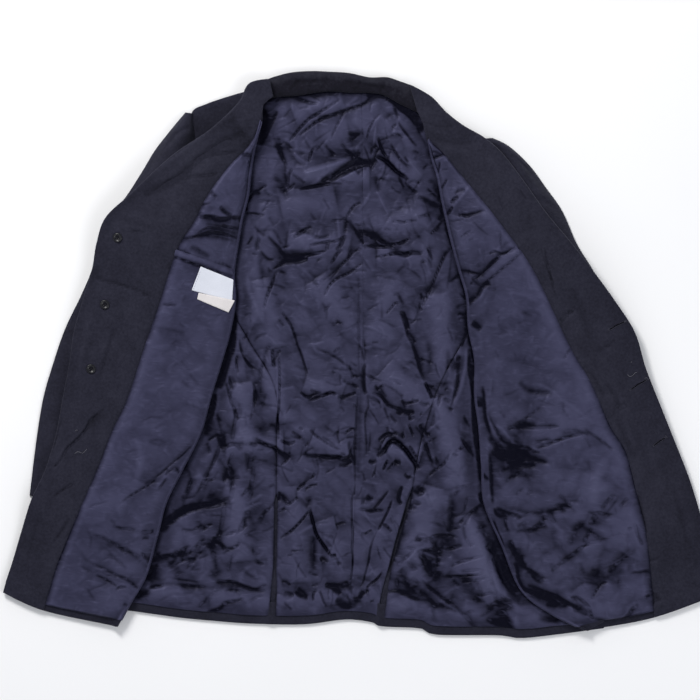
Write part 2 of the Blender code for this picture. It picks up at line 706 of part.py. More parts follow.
def front(side, sign, ribs, sleeve_top, lapel_rows, room):
    """Front panel, facing, front lining and lapel; returns the pieces' surfaces."""
    hidden = lower_layer(ribs, 3 * FRONT_ROWS, DENSE_COLUMNS).reshape(-1, 3)
    supports = np.vstack((hidden, sleeve_top))
    supports = np.vstack((supports, lapel(side, sign, ribs, lapel_rows, supports)))
    shell = front_grid(ribs, supports, room)
    cloth(f"front_{side}", shell, WOOL, sign, NAVY_WOOL)
    out = moved_out(shell, WOOL + CLEAR, sign)
    seam_column = LOWER_POINTS + BEND_COLUMNS + LINING_COLUMNS
    facing = out[:, seam_column:].copy()
    cloth(f"facing_{side}", facing, FACING, sign, NAVY_WOOL)
    lining = out[2:, LOWER_POINTS - 1:seam_column + 1].copy()
    reach = lining[:, 0] - lining[:, 1]
    reach *= WRAP / np.linalg.norm(reach, axis=1, keepdims=True)
    lining[:, 0] = lining[:, 1] + reach
    back_off = lining[:, -2] - lining[:, -1]
    lining[:, -1] += back_off * GAP / np.linalg.norm(back_off, axis=1, keepdims=True)
    lining[-1] += (lining[-2] - lining[-1]) * LINING_HEM / LAST_ROW_LENGTH
    cloth(f"front_lining_{side}", lining, LINING, sign, NAVY_LINING)
    return {
        "facing": surface(moved_out(facing, FACING, sign), sign),
        "lining": surface(moved_out(lining, LINING, sign), sign),
        "underside": surface(shell[:, seam_column - 1:], sign),
    }


# ---------------------------------------------------------------- collar
def collar():
    """Stand and fall in one: the fall is folded under and lies below the back."""
    inner_radius = (STAND_HIGH - COLLAR_CLOTH) / 2
    grid = []
    for k in range(COLLAR_ROWS + 1):
        t = k / COLLAR_ROWS * (len(COLLAR) - 1)
        crease = smooth([rib.crease for rib in COLLAR], t)
        seam = smooth([rib.seam for rib in COLLAR], t)
        width = float(np.linalg.norm(crease - seam))
        along = (crease - seam) / width
        turn = width - inner_radius - COLLAR_CLOTH
        profile = [(0.0, STAND_LOW), (turn * 0.5, 0.6 * STAND_HIGH + 0.4 * STAND_LOW)]
        for step in range(COLLAR_BEND + 1):
            angle = math.pi * (0.5 - step / COLLAR_BEND)
            profile.append((turn + inner_radius * math.cos(angle),
                            COLLAR_CLOTH + inner_radius * (1 + math.sin(angle))))
        profile += [(turn * 0.5, COLLAR_CLOTH), (-FALL_PAST_SEAM, COLLAR_CLOTH)]
        grid.append([(*(seam + along * s), z) for s, z in profile])
    cloth("collar", np.array(grid), COLLAR_CLOTH, -1, NAVY_WOOL)


# ---------------------------------------------------------------- small pieces
def on_surface(name, corners, columns, rows, trees, thickness, color):
    """A small flat piece that follows the surface below its four corners."""
    a, b, c, d = (np.array(corner, float) for corner in corners)
    grid = []
    for v in np.linspace(0, 1, rows + 1):
        line = []
        for u in np.linspace(0, 1, columns + 1):
            x, y = (1 - v) * ((1 - u) * a + u * b) + v * ((1 - u) * d + u * c)
            line.append((x, y, highest(trees, x, y, PATCH_AROUND) + GAP))
        grid.append(line)
    cloth(name, np.array(grid), thickness, 1, color)


def turned(name, profile, radius, height, place, normal, color):
    """A round piece: a profile of shares of its radius and height, turned about its axis."""
    mesh = bpy.data.meshes.new(name)
    points = [(r * radius * MM, 0.0, h * height * MM) for r, h in profile]
    mesh.from_pydata(points, [(i, i + 1) for i in range(len(points) - 1)], [])
    item = new_object(name, mesh, color)
    screw = item.modifiers.new("turn", "SCREW")
    screw.steps = ROUND_STEPS
    screw.render_steps = ROUND_STEPS
    screw.use_merge_vertices = True
    screw.merge_threshold = 0.00001
    screw.use_smooth_shade = True
    turn = Vector((0, 0, 1)).rotation_difference(normal)
    item.matrix_world = Matrix.Translation(place * MM) @ turn.to_matrix().to_4x4()


def seat(tree, x, y, radius, direction):
    """Place and axis of a disc that lies on a surface, or under it, without cutting it."""
    middle, normal = meet([tree], x, y, direction)
    normal = normal * (1 if normal.z * direction < 0 else -1)
    rise = 0.0
    for angle in np.linspace(0, 2 * math.pi, 13)[:-1]:
        place, _ = meet([tree], x + radius * math.cos(angle), y + radius * math.sin(angle),
                        direction)
        rise = max(rise, (place - middle).dot(normal))
    return middle + normal * (rise + GAP), normal


def backing_button(name, x, y, facing):
    """A plain backing button: a flat rim round a dished middle."""
    place, normal = seat(facing, x, y, BACKING_RADIUS, -1.0)
    turned(name, BACKING_PROFILE, BACKING_RADIUS, BACKING_THICK, place, normal, DARK_PLASTIC)


def front_button(name, x, y, underside):
    """A plain front button on the outer face, hidden between front and sleeve."""
    place, normal = seat(underside, x, y, FRONT_RADIUS, 1.0)
    turned(name, FRONT_PROFILE, FRONT_RADIUS, FRONT_THICK, place, normal, DARK_PLASTIC)


def main():
    for item in list(bpy.data.objects):
        bpy.data.objects.remove(item, do_unlink=True)
    collection = bpy.data.collections.new("dress_jacket")
    bpy.context.scene.collection.children.link(collection)

    back_and_sides("right", 1, RIGHT_FRONT, RIGHT_SEAM_LINE)
    back_and_sides("left", -1, LEFT_FRONT, LEFT_SEAM_LINE)
    collar()
    right_sleeve = sleeve("right", 1, RIGHT_SLEEVE, RIGHT_FRONT)
    left_sleeve = sleeve("left", -1, LEFT_SLEEVE, LEFT_FRONT)
    right = front("right", 1, RIGHT_FRONT, right_sleeve, RIGHT_LAPEL, BUTTON_ROOM)
    left = front("left", -1, LEFT_FRONT, left_sleeve, LEFT_LAPEL, LEFT_ROOM)

    right_inside = [right["lining"], right["facing"]]
    left_inside = [left["lining"], left["facing"]]
    for name, corners, columns, rows, trees, thickness, color in (
            ("pocket_right", RIGHT_POCKET, 4, 1, right_inside, POCKET_WELT, NAVY_LINING),
            ("pocket_left", LEFT_POCKET, 5, 1, left_inside, POCKET_WELT, NAVY_LINING),
            ("label_white", WHITE_LABEL, 3, 2, right_inside, LABEL, WHITE_SATIN),
            ("label_cream", CREAM_LABEL, 3, 1, right_inside, LABEL, CREAM_CLOTH)):
        on_surface(name, corners, columns, rows, trees, thickness, color)
    for number, (x, y) in enumerate(BACKING_PLACES, 1):
        backing_button(f"backing_button_{number}", x, y, right["facing"])
    for number, (x, y) in enumerate(FRONT_PLACES, 1):
        front_button(f"front_button_{number}", x, y, right["underside"])


main()
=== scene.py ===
"""Looks of a firefighter's dress jacket that lies open on its back with the lining up.

The back lies on the floor. Each front goes from its side seam in to a fold and out again
on top, over the sleeve. Lengths are in millimetres until a mesh is made. X runs across
the jacket, Y from the hem to the collar and Z up. Left and right are the wearer's, so the
right front is at -X. Lines run from the collar down to the hem.
"""
import math
from collections import namedtuple
from functools import lru_cache

import bpy
import numpy as np
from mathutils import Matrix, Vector
from mathutils.bvhtree import BVHTree


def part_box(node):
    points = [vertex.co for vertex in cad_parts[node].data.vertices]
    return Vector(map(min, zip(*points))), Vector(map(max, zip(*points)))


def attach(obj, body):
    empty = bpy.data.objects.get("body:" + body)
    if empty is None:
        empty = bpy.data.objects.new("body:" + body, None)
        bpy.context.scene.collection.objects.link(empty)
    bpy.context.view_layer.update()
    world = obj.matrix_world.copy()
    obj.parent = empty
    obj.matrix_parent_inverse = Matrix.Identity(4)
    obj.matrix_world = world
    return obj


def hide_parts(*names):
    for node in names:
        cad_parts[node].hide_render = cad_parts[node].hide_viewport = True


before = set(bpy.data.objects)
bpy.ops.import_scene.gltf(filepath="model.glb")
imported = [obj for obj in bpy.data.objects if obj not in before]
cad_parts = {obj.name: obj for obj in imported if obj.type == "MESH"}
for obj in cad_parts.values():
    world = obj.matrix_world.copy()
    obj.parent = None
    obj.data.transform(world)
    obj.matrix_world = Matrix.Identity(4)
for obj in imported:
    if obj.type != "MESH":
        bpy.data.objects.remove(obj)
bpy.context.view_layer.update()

MM = 0.001

# ---------------------------------------------------------------- cloth and stack, as the frame
WOOL = 2.0              # shell cloth with its canvas
LINING = 1.0
FACING = 1.6
COLLAR_CLOTH = 2.7      # upper and under collar together
GAP = 0.3               # between pieces that are sewn or rest together
CLEAR = 0.4             # between layers that lie on each other
TURN_UP = 30.0          # depth of the hem that is turned up inside
LINING_HEM = 13.0       # the lining stops this far above the hem
VENT_HALF = 5.0         # half of the wool strip that shows at a side vent
UNDERLAP = 22.0         # the back lining goes on this far under a front's fold
WRAP = 12.0             # the front lining goes on this far below the fold
NECK_RAISE = 3.2        # the back rises over the collar fall at the neck
NECK_FROM = -190.0      # x where that rise starts
NECK_TO = 140.0         # and ends
NECK_FADE = 55.0        # and the width of the slope at its ends
NECK_DEPTH = 46.0       # it is whole this far below the top line
NECK_SLOPE = 36.0       # and gone this much further down
ABOVE_RAISE = 1.3       # what lies on the back rises this much more than it
STACK = 3.5             # the two linings and their room below a front's fold
BEND_INNER = 1.0        # inner radius of a front's fold
LOWER_LEVEL = 32.0      # the hidden layer is level this far from the fold
LOWER_RAMP = 40.0       # and comes down to the side panel over this distance
HEM_SPARE = 4.0         # the lining rises over the turned-up hem this far above it
HEM_SLOPE = 22.0        # and the width of that slope
STEP_SPARE = 15.0       # the same for the front's hidden layer
STEP_SLOPE = 25.0
BEND_RADIUS = BEND_INNER + WOOL + CLEAR + LINING    # of the lining round a front's fold

# ---------------------------------------------------------------- fronts
# fold: where the front turns out; seam: facing to lining; edge: roll line, then free
# edge; side: shoulder seam, armhole (4 to 10) and side seam
Rib = namedtuple("Rib", "fold seam edge side")
RIGHT_FRONT = (
    Rib((-130, 373), (-131, 375), (-136, 400), (-146, 387)),
    Rib((-144, 361), (-146, 363), (-165, 393), (-164, 383)),
    Rib((-146, 338), (-148, 339), (-181, 365), (-190, 376)),
    Rib((-155, 303), (-165, 304), (-222, 326), (-226, 364)),
    Rib((-161, 268), (-196, 271), (-276, 289), (-248, 351)),
    Rib((-165, 232), (-225, 231), (-338, 232), (-246, 315)),
    Rib((-174, 196), (-244, 194), (-373, 199), (-242, 271)),
    Rib((-180, 160), (-265, 161), (-386, 162), (-241, 228)),
    Rib((-186, 120), (-281, 120), (-393, 123), (-244, 181)),
    Rib((-184, 80), (-294, 78), (-406, 80), (-249, 135)),
    Rib((-191, 36), (-309, 35), (-419, 35), (-255, 91)),
    Rib((-204, -10), (-325, -13), (-426, -14), (-276, 28)),
    Rib((-220, -62), (-342, -64), (-435, -61), (-293, -39)),
    Rib((-234, -112), (-365, -113), (-445, -115), (-307, -94)),
    Rib((-261, -167), (-384, -162), (-461, -167), (-319, -152)),
    Rib((-284, -213), (-406, -213), (-481, -210), (-331, -210)),
    Rib((-296, -258), (-426, -260), (-496, -258), (-342, -257)),
    Rib((-313, -319), (-444, -304), (-509, -302), (-357, -309)),
    Rib((-334, -357), (-454, -337), (-516, -323), (-364, -338)),
    Rib((-354, -394), (-463, -370), (-522, -344), (-371, -368)),
)
LEFT_FRONT = (
    Rib((80, 352), (79, 353), (68, 392), (77, 381)),
    Rib((88, 334), (88, 335), (99, 374), (94, 371)),
    Rib((93, 310), (95, 313), (120, 352), (117, 348)),
    Rib((99, 283), (116, 293), (146, 332), (144, 326)),
    Rib((107, 257), (139, 265), (174, 316), (170, 310)),
    Rib((113, 225), (161, 238), (200, 294), (194, 300)),
    Rib((120, 193), (187, 206), (228, 258), (206, 265)),
    Rib((128, 160), (209, 177), (265, 206), (212, 225)),
    Rib((138, 123), (232, 146), (300, 164), (218, 181)),
    Rib((149, 84), (254, 109), (332, 123), (225, 136)),
    Rib((152, 39), (278, 58), (364, 80), (235, 90)),
    Rib((161, -7), (303, 6), (394, 33), (246, 36)),
    Rib((161, -58), (331, -42), (410, -19), (258, -19)),
    Rib((167, -106), (358, -103), (428, -65), (271, -72)),
    Rib((171, -161), (381, -142), (452, -125), (284, -130)),
    Rib((175, -216), (397, -203), (474, -181), (299, -188)),
    Rib((200, -276), (409, -251), (492, -239), (313, -246)),
    Rib((228, -341), (416, -300), (508, -293), (329, -309)),
    Rib((270, -375), (420, -341), (515, -319), (339, -349)),
    Rib((320, -400), (423, -380), (522, -344), (349, -386)),
)

# ---------------------------------------------------------------- back and sides
TOP_LINE = (
    (-250, 349), (-200, 369), (-150, 374), (-126, 377), (-94, 382), (-45, 387), (6, 385),
    (29, 381), (51, 372), (77, 366), (94, 366), (117, 345), (144, 323), (170, 308),
    (196, 299),
)
HEM_LINE = (
    (-374, -371), (-342, -371), (-268, -381), (-216, -386), (-161, -390), (-86, -391),
    (-25, -384), (13, -388), (28, -394), (84, -397), (106, -406), (196, -407),
    (229, -411), (287, -405), (354, -396),
)
CENTRE_LINE = ((-2, 390), (0, 240), (0, 60), (-4, -51), (-12, -196), (-16, -334), (-17, -395))
RIGHT_SEAM_LINE = (
    (-232, 180), (-223, 135), (-202, 83), (-167, 22), (-128, -48), (-125, -123),
    (-126, -199), (-129, -334), (-134, -395),
)
LEFT_SEAM_LINE = (
    (211, 165), (203, 120), (181, 75), (145, 19), (108, -51), (86, -120), (71, -193),
    (49, -270), (33, -335), (23, -400),
)
ARMHOLE_TO_SIDE = 170.0     # y where the side panels start, low in the armholes
VENT_TOP = -196.0           # y of the top of the side vents

# ---------------------------------------------------------------- sleeves
# inner_y: on the armhole or beside the body; slack: distance from it; height: of the arch
SleeveRib = namedtuple("SleeveRib", "inner_y slack outer height")
RIGHT_SLEEVE = (
    SleeveRib(350, 0.8, (-258, 352), 7),
    SleeveRib(326, 0.8, (-278, 328), 20),
    SleeveRib(297, 0.8, (-302, 297), 25),
    SleeveRib(261, 0.8, (-322, 264), 25),
    SleeveRib(225, 0.8, (-347, 226), 23),
    SleeveRib(178, 0.8, (-371, 200), 19),
    SleeveRib(130, 0.8, (-386, 164), 16),
    SleeveRib(91, 1.0, (-393, 126), 14),
    SleeveRib(48, 1.5, (-409, 87), 12),
    SleeveRib(-4, 1.5, (-432, 39), 11),
    SleeveRib(-58, 2.0, (-449, -10), 10),
    SleeveRib(-112, 2.5, (-464, -62), 9),
    SleeveRib(-170, 2.5, (-474, -123), 9),
    SleeveRib(-231, 2.5, (-484, -204), 9),
)
LEFT_SLEEVE = (
    SleeveRib(313, 0.8, (188, 315), 7),
    SleeveRib(298, 0.8, (212, 303), 12),
    SleeveRib(276, 0.8, (241, 276), 18),
    SleeveRib(242, 0.8, (264, 245), 24),
    SleeveRib(207, 0.8, (289, 209), 26),
    SleeveRib(167, 0.8, (310, 162), 25),
    SleeveRib(126, 0.8, (331, 128), 23),
    SleeveRib(83, 1.0, (352, 91), 21),
    SleeveRib(33, 1.5, (378, 54), 19),
    SleeveRib(-19, 1.5, (393, 4), 18),
    SleeveRib(-72, 2.0, (403, -48), 17),
    SleeveRib(-130, 2.0, (419, -102), 16),
    SleeveRib(-188, 2.5, (436, -158), 15),
    SleeveRib(-251, 2.5, (452, -228), 14),
)

# ---------------------------------------------------------------- collar and lapels
CollarRib = namedtuple("CollarRib", "crease seam")
COLLAR = (
    CollarRib((-139, 400), (-134, 373)),
    CollarRib((-128, 404), (-123, 375)),
    CollarRib((-104, 410), (-94, 377)),
    CollarRib((-75, 412), (-70, 381)),
    CollarRib((-48, 411), (-45, 383)),
    CollarRib((-19, 409), (-17, 381)),
    CollarRib((9, 403), (6, 381)),
    CollarRib((35, 403), (29, 378)),
    CollarRib((54, 397), (51, 366)),
    CollarRib((71, 391), (82, 351)),
)
STAND_LOW = 8.4         # underside of the stand at the neck seam
STAND_HIGH = 11.0        # and at the crease
FALL_PAST_SEAM = 16.0   # the fall goes this far past the neck seam, under the back
LapelRow = namedtuple("LapelRow", "rib width")
RIGHT_LAPEL = (
    LapelRow(1.2, 20), LapelRow(2.0, 22), LapelRow(3.0, 40), LapelRow(4.0, 76),
    LapelRow(5.0, 62), LapelRow(6.0, 36), LapelRow(6.9, 8),
)
LEFT_LAPEL = (
    LapelRow(1.2, 20), LapelRow(2.0, 26), LapelRow(3.2, 44), LapelRow(4.6, 74),
    LapelRow(6.0, 64), LapelRow(7.4, 40), LapelRow(8.8, 8),
)

# ---------------------------------------------------------------- looks of the cloth
BILLOW = 3.6            # the lining stands this far off the shell between its folds
FRONT_BILLOW = 2.4      # and that of a front this far
BACK_SINK = 1.6         # and lies this much lower between the broad ridges
SEAM_DIP = 1.2          # depth of the cloth beside a sewn edge
CENTRE_DIP = 0.15       # and beside the centre seam
# Spread of the blur and height that gives full shade, for the colour of folds
SHADE_SCALES = ((2.0, 3.0), (6.0, 5.6), (16.0, 5.0))
SHADE_BIAS = 0.10       # taken off the shade, so flat cloth is a little light
CREASE_SHADE = 0.38     # shade for each millimetre of a crease's depth
CREASE_MOST = 1.0       # and the most of it
SHADOW_STRENGTH = 0.62  # share of the shade that the tables below state
BUSY_FROM = -50.0       # the left front is more crumpled below this y
BUSY_OVER = 60.0        # and wholly so this much further down
SHADOW_DEEP = 2.2       # how deep the cloth dips where a shadow is full
COLLAR_DARK = 0.25      # shade of the whole collar
# Painted highlight: the collar's ridge at the crease takes this much less shade.
COLLAR_RIDGE_HIGHLIGHT = 0.5  # and how much less its ridge has
NECK_SHADOW = 1.0       # extra shade in front of the collar
NECK_SHADOW_WIDE = 9.0
FOLD_SHADOW = 0.5       # and beside a front's fold
FOLD_SHADOW_WIDE = 5.0
VENT_SLIT = 2.3         # half of the dark slit at the top of a vent
STRIP_TOP = -305.0      # y below which the wool strip shows in it
SLEEVE_UNDERLAP = 5.0   # the sleeve's head goes on this far under the shoulder
LINING_HEM_WAVE = 1.0   # how far the lining's hem waves
NARROWEST = 10.0        # least width of a side lining
SIDE_LINING_TOP = {"right": 86.0, "left": 48.0}
LINING_END = {"right": 0.32, "left": 0.30}      # rows from the hem where the lining ends
FRONT_LINING_WIDTH = 165.0
ROLL_END = {"right": 7.0, "left": 8.8}          # row where the roll line ends
EDGE_RADIUS = 1.9       # of the facing's free edge
ROLL_RADIUS = 3.8       # and along the roll line
BUTTON_HEIGHT = 2.4
FRONT_BUTTON_HEIGHT = 2.6
HOLE_RADIUS = 0.8
BACKING_HOLES = [(-1.6, 0.0), (1.6, 0.0)]
# Profiles of the buttons: share of the radius and share of the height
BACKING_RIM = ((0.0, 0.5), (0.5, 0.52), (0.62, 0.7), (0.75, 1.0), (0.9, 0.92), (1.0, 0.45))
FRONT_RIM = ((0.0, 1.0), (0.5, 0.93), (0.84, 0.72), (0.95, 0.55), (1.0, 0.3))
SLIT_SPARE = 0.08       # share of a buttonhole that is uncut at each end
SLIT_BEND = 0.03        # how far a slit bends, as a share of its length
BUTTONHOLES = (((355, 36), (380, 49)), ((386, -51), (412, -35)), ((420, -132), (439, -119)))
RIGHT_POCKET = ((-273, 144), (-189, 114.5), (-188, 124.5), (-271, 153))
LEFT_POCKET = ((172, 103), (227, 150), (221, 158), (164, 110))
WHITE_LABEL = ((-248, 94), (-190, 78), (-188, 109), (-235, 128))
LABEL_STITCHES = (((-245.5, 95.5), (-234.5, 124.5)), ((-244, 92.5), (-238, 91)))
LOOSE_THREADS = {       # x and y of their points, on each front
    "right": (
        ((-418, -143), (-413, -140), (-406, -142), (-400, -136)),
        ((-416.5, -110), (-415, -108.5), (-413.8, -109.6)),
    ),
    "left": (
        ((383, -28), (386, -31), (390, -30), (394, -26), (397, -25)),
        ((388, -11), (389.4, -9.4)),
        ((408, -34), (411, -32.6)),
        ((378.5, 48.2), (381.5, 49.8)),
    ),
}
STITCH = 2.2            # length of a stitch at the white label
STITCH_GAP = 1.4
CREAM_LABEL = ((-240, 81), (-195, 62), (-186, 79), (-238, 90))

# Darkest, middle and lightest colour of each cloth. The shade attribute moves the colour towards the
# darkest as painted shade in creases and hollows, and towards the lightest as a painted highlight on
# ridges. The grain noise varies it at random between them.
WOOL_TONES = ((0.004, 0.004, 0.008), (0.013, 0.013, 0.023), (0.024, 0.024, 0.039))
COLLAR_TONES = ((0.002, 0.002, 0.004), (0.006, 0.0055, 0.011), (0.018, 0.018, 0.027))
LINING_TONES = ((0.0006, 0.0006, 0.003), (0.041, 0.041, 0.078), (0.068, 0.069, 0.124))
LINING_ROUGH = 0.46
# Colour, roughness, scale of the grain and its strength, and specular level
PLAIN = {
    "dark_plastic": ((0.002, 0.002, 0.005), 0.30, 300, 0.2, 0.4),
    "dark_thread": ((0.034, 0.034, 0.046), 0.8, 2500, 0.3, 0.1),
    "buttonhole_thread": ((0.05, 0.05, 0.068), 0.8, 2500, 0.3, 0.1),
    "grey_thread": ((0.20, 0.22, 0.32), 0.7, 2500, 0.3, 0.5),
    "pale_thread": ((0.11, 0.11, 0.13), 0.8, 2500, 0.3, 0.1),
    # near-black strip laid in each buttonhole's slit: painted shade where the cut opens
    "buttonhole_slit_shadow": ((0.0015, 0.0015, 0.003), 0.95, 2500, 0.3, 0.03),
    "label_white": ((0.60, 0.62, 0.69), 0.45, 900, 0.05, 0.5),
    "label_cream": ((0.62, 0.59, 0.59), 0.65, 900, 0.06, 0.5),
    "pale_floor": ((0.86, 0.86, 0.87), 0.9, 3.0, 0.01, 0.5),
}

# ---------------------------------------------------------------- camera and light
VIEW_WIDTH = 1015.0     # of the photograph's frame at the jacket's level
VIEW_X = -18.9
VIEW_Y = 7.3
VIEW_LEVEL = 0.010
CAMERA_HEIGHT = 9.0
WORLD_LIGHT = (1.20, 0.12)      # at the horizon and straight above
LIGHTS = (              # name, place and size in metres, power, colour
    ("key", (-1.3, 2.0, 2.0), 0.9, 80.0, (1.0, 0.99, 0.97)),
    ("fill", (1.6, -1.2, 2.4), 1.8, 28.0, (0.95, 0.97, 1.0)),
)

# ---------------------------------------------------------------- wide one-sided shadows
# shade, width of the soft side, then x, y along the crisp edge, soft side on the left
BACK_SHADOWS = (
    (1.5, 9, -108, 243, -83, 242, -51, 249, -7, 271, 19, 282),
    (1.5, 5, 19, 287, 34, 281, 50, 266),
    (1.2, 7, 94, 303, 84, 318, 74, 340, 62, 356, 48, 364),
    (1.6, 9, -146, 308, -147, 330, -144, 354),
    (0.8, 5, -103, 311, -71, 336, -31, 350, 0, 361, 22, 375),
    (0.9, 5, -24, 308, -12, 314, -2, 325),
    (0.8, 7, 62, 258, 36, 284, 12, 312),
    (0.9, 6, -80, 266, -98, 284, -113, 306),
    (1.1, 6, -107, 177, -88, 178, -70, 174),
    (1.1, 5, -12, 178, 6, 174, 28, 164),
    (0.8, 7, -113, 145, -86, 145, -58, 149, -38, 160),
    (1.2, 4, -80, 139, -100, 141, -113, 140, -128, 126),
    (0.7, 5, -2, 157, 24, 155, 49, 157, 64, 165),
    (1.2, 6, 86, 148, 58, 149, 25, 142),
    (0.5, 12, -126, 119, -141, 87, -143, 62, -138, 40),
    (0.5, 6, 51, 85, 68, 29, 85, -22, 101, -63),
    (0.9, 4, -89, -54, -74, -63, -43, -54, -26, -62, -9, -53),
    (0.8, 6, 74, -83, 44, -75, 18, -46),
    (1.2, 5, -110, -146, -130, -135, -152, -127, -193, -131),
    (0.6, 4, -87, -143, -60, -146, -24, -149),
    (1.5, 7, 80, -165, 63, -137, 42, -124, 20, -148),
    (0.9, 9, 92, -196, 76, -190, 64, -206),
    (0.7, 7, -77, -220, -67, -261, -45, -293),
    (0.5, 8, -77, -225, -100, -246, -121, -264),
    (0.8, 5, -89, -191, -80, -182, -67, -174),
    (1.2, 4, 94, -270, 84, -269, 74, -265),
    (0.8, 7, 116, -319, 95, -311, 89, -287),
    (0.8, 7, 138, -373, 97, -358, 68, -337, 53, -314),
    (1.0, 9, -13, -337, -34, -333, -56, -332),
    (0.8, 9, -18, -366, -36, -362, -60, -366),
    (1.3, 6, -12, -358, -2, -350, 11, -340),
    (0.9, 5, -102, -343, -92, -347, -81, -352),
    (0.35, 12, -58, -240, -60, -285, -58, -325),
    (0.30, 9, 6, -20, 4, -90, 1, -160, -3, -240),
    (1.4, 7, -191, -211, -218, -221, -253, -217, -287, -238),
    (0.5, 16, -150, 60, -170, 10, -168, -40),
    (0.7, 12, 196, -376, 170, -352, 150, -320),
    (0.9, 7, -193, -241, -191, -220, -193, -186, -200, -164, -214, -142),
    (0.8, 6, -180, -240, -212, -262, -240, -290, -285, -318),
    (0.7, 6, -176, -285, -200, -278, -226, -266),
    (0.8, 7, -214, -337, -250, -334, -292, -330),
    (0.7, 6, -247, -190, -252, -168, -260, -150),
    (0.4, 14, 60, 235, 70, 200, 66, 170),
)
FRONT_SHADOWS = (
    (0.5, 7, -257, 32, -278, 37, -300, 40),
    (0.5, 9, -312, -307, -342, -284, -381, -271),
    (0.4, 9, -326, -333, -362, -320, -400, -306),
    (0.35, 12, -240, -115, -288, -165, -352, -213),
    (1.3, 4, -187, 166, -212, 172, -238, 172, -266, 163),
    (0.9, 3, -188, 171, -207, 178, -224, 179, -240, 170),
    (1.0, 9, -184, 200, -205, 197, -228, 203, -240, 208),
    (0.8, 5, -190, 184, -212, 188, -228, 190),
    (1.5, 4, 169, 113, 188, 132, 200, 145, 222, 156),
    (1.2, 2, 230, 149, 203, 126, 172, 101),
    (1.3, 2, -189, 113, -230, 127, -275, 143),
    (1.2, 5, -272, 154, -266, 150, -258, 147),
    (0.5, 5, -188, 126, -228, 139, -262, 151),
    (0.6, 6, 140, 124, 158, 118, 172, 122),
    (0.5, 9, 124, 206, 150, 200, 176, 212),
    (1.2, 9, 180, -134, 200, -149, 235, -151, 268, -155),
    (0.9, 5, 196, -219, 224, -226, 252, -229, 304, -219),
    (0.8, 8, 222, -256, 246, -254, 268, -249),
    (0.8, 7, 351, -230, 362, -218, 371, -203),
    (0.8, 8, 273, -312, 304, -286, 351, -265),
    (1.2, 8, 320, -370, 268, -344, 216, -334, 190, -291),
    (0.7, 6, 357, -303, 372, -294, 388, -281),
    (0.7, 8, 300, -345, 322, -330, 352, -338),
    (0.6, 9, 205, -180, 232, -176, 262, -184),
    (0.7, 9, 176, -236, 186, -262, 192, -288),
    (0.5, 10, 290, -262, 318, -246, 330, -228),
    (0.6, 9, -336, -176, -312, -186, -288, -180),
)
FACING_SHADOWS = (
    (1.1, 6, -376, -82, -388, -92, -399, -107),
    (0.8, 6, -430, -140, -434, -150, -439, -158),
    (1.0, 22, -150, 300, -176, 326, -190, 352),
)

# ---------------------------------------------------------------- how fine the meshes are
FINE = 1.38             # spacing of the back lining's points
SIDE_FINE = 1.6         # of the side linings'
FRONT_FINE = 1.66       # of the front linings'
MIDDLE = 2.7            # of the facings' and the collar's
COARSE = 6.5            # of cloth that hardly shows
LINING_GRID = {"back": (200, FINE), "side": (125, SIDE_FINE)}       # width and spacing
HEM_DEPTH = 390         # of the hem below y = 0, for the number of rows
LAST_ROWS = 12          # of a front's lining, which end above the hem
LINING_WALL = 0.5       # thickness of the satin's shells
WOOL_WALL = 1.4         # and of the facings'

Side = namedtuple("Side", "name sign ribs seam_line sleeve lapel")
RIGHT = Side("right", 1, RIGHT_FRONT, RIGHT_SEAM_LINE, RIGHT_SLEEVE, RIGHT_LAPEL)
LEFT = Side("left", -1, LEFT_FRONT, LEFT_SEAM_LINE, LEFT_SLEEVE, LEFT_LAPEL)


# ---------------------------------------------------------------- curves and lines
def smooth(points, t):
    """Catmull-Rom curves through points (n, ...); t counts them from 0."""
    p = np.asarray(points, float)
    t = np.clip(np.asarray(t, float), 0, len(p) - 1)
    i = np.minimum(t.astype(int), len(p) - 2)
    f = (t - i).reshape(t.shape + (1,) * (p.ndim - 1))
    p0, p1, p2, p3 = (p[np.clip(i + k, 0, len(p) - 1)] for k in (-1, 0, 1, 2))
    return 0.5 * (2 * p1 + (p2 - p0) * f + (2 * p0 - 5 * p1 + 4 * p2 - p3) * f ** 2
                  + (3 * p1 - p0 - 3 * p2 + p3) * f ** 3)


@lru_cache(maxsize=None)
def sampled(line):
    return smooth(line, np.linspace(0, len(line) - 1, 14 * len(line)))


def x_on(line, y):
    """Where a line that runs down the jacket has this y."""
    points = sampled(line)[::-1]
    return np.interp(y, points[:, 1], points[:, 0])


def y_on(line, x):
    """Where a line that runs across the jacket has this x."""
    points = sampled(line)
    return np.interp(x, points[:, 0], points[:, 1])


def ease(value):
    value = np.clip(value, 0.0, 1.0)
    return value * value * (3 - 2 * value)


def steps(length, spacing):
    return max(int(round(length / spacing)), 2)


def neck_raise(x, y):
    """How far the back is lifted over the collar fall."""
    wide = ease((x - NECK_FROM) / NECK_FADE) * ease((NECK_TO - x) / NECK_FADE)
    return NECK_RAISE * wide * (1 - ease((y_on(TOP_LINE, x) - y - NECK_DEPTH) / NECK_SLOPE))


def hem_raise(x, y):
    """How far the lining is lifted over the turned-up hem."""
    above = y - y_on(HEM_LINE, x) - TURN_UP - HEM_SPARE
    return (WOOL + GAP) * (1 - ease(above / HEM_SLOPE))


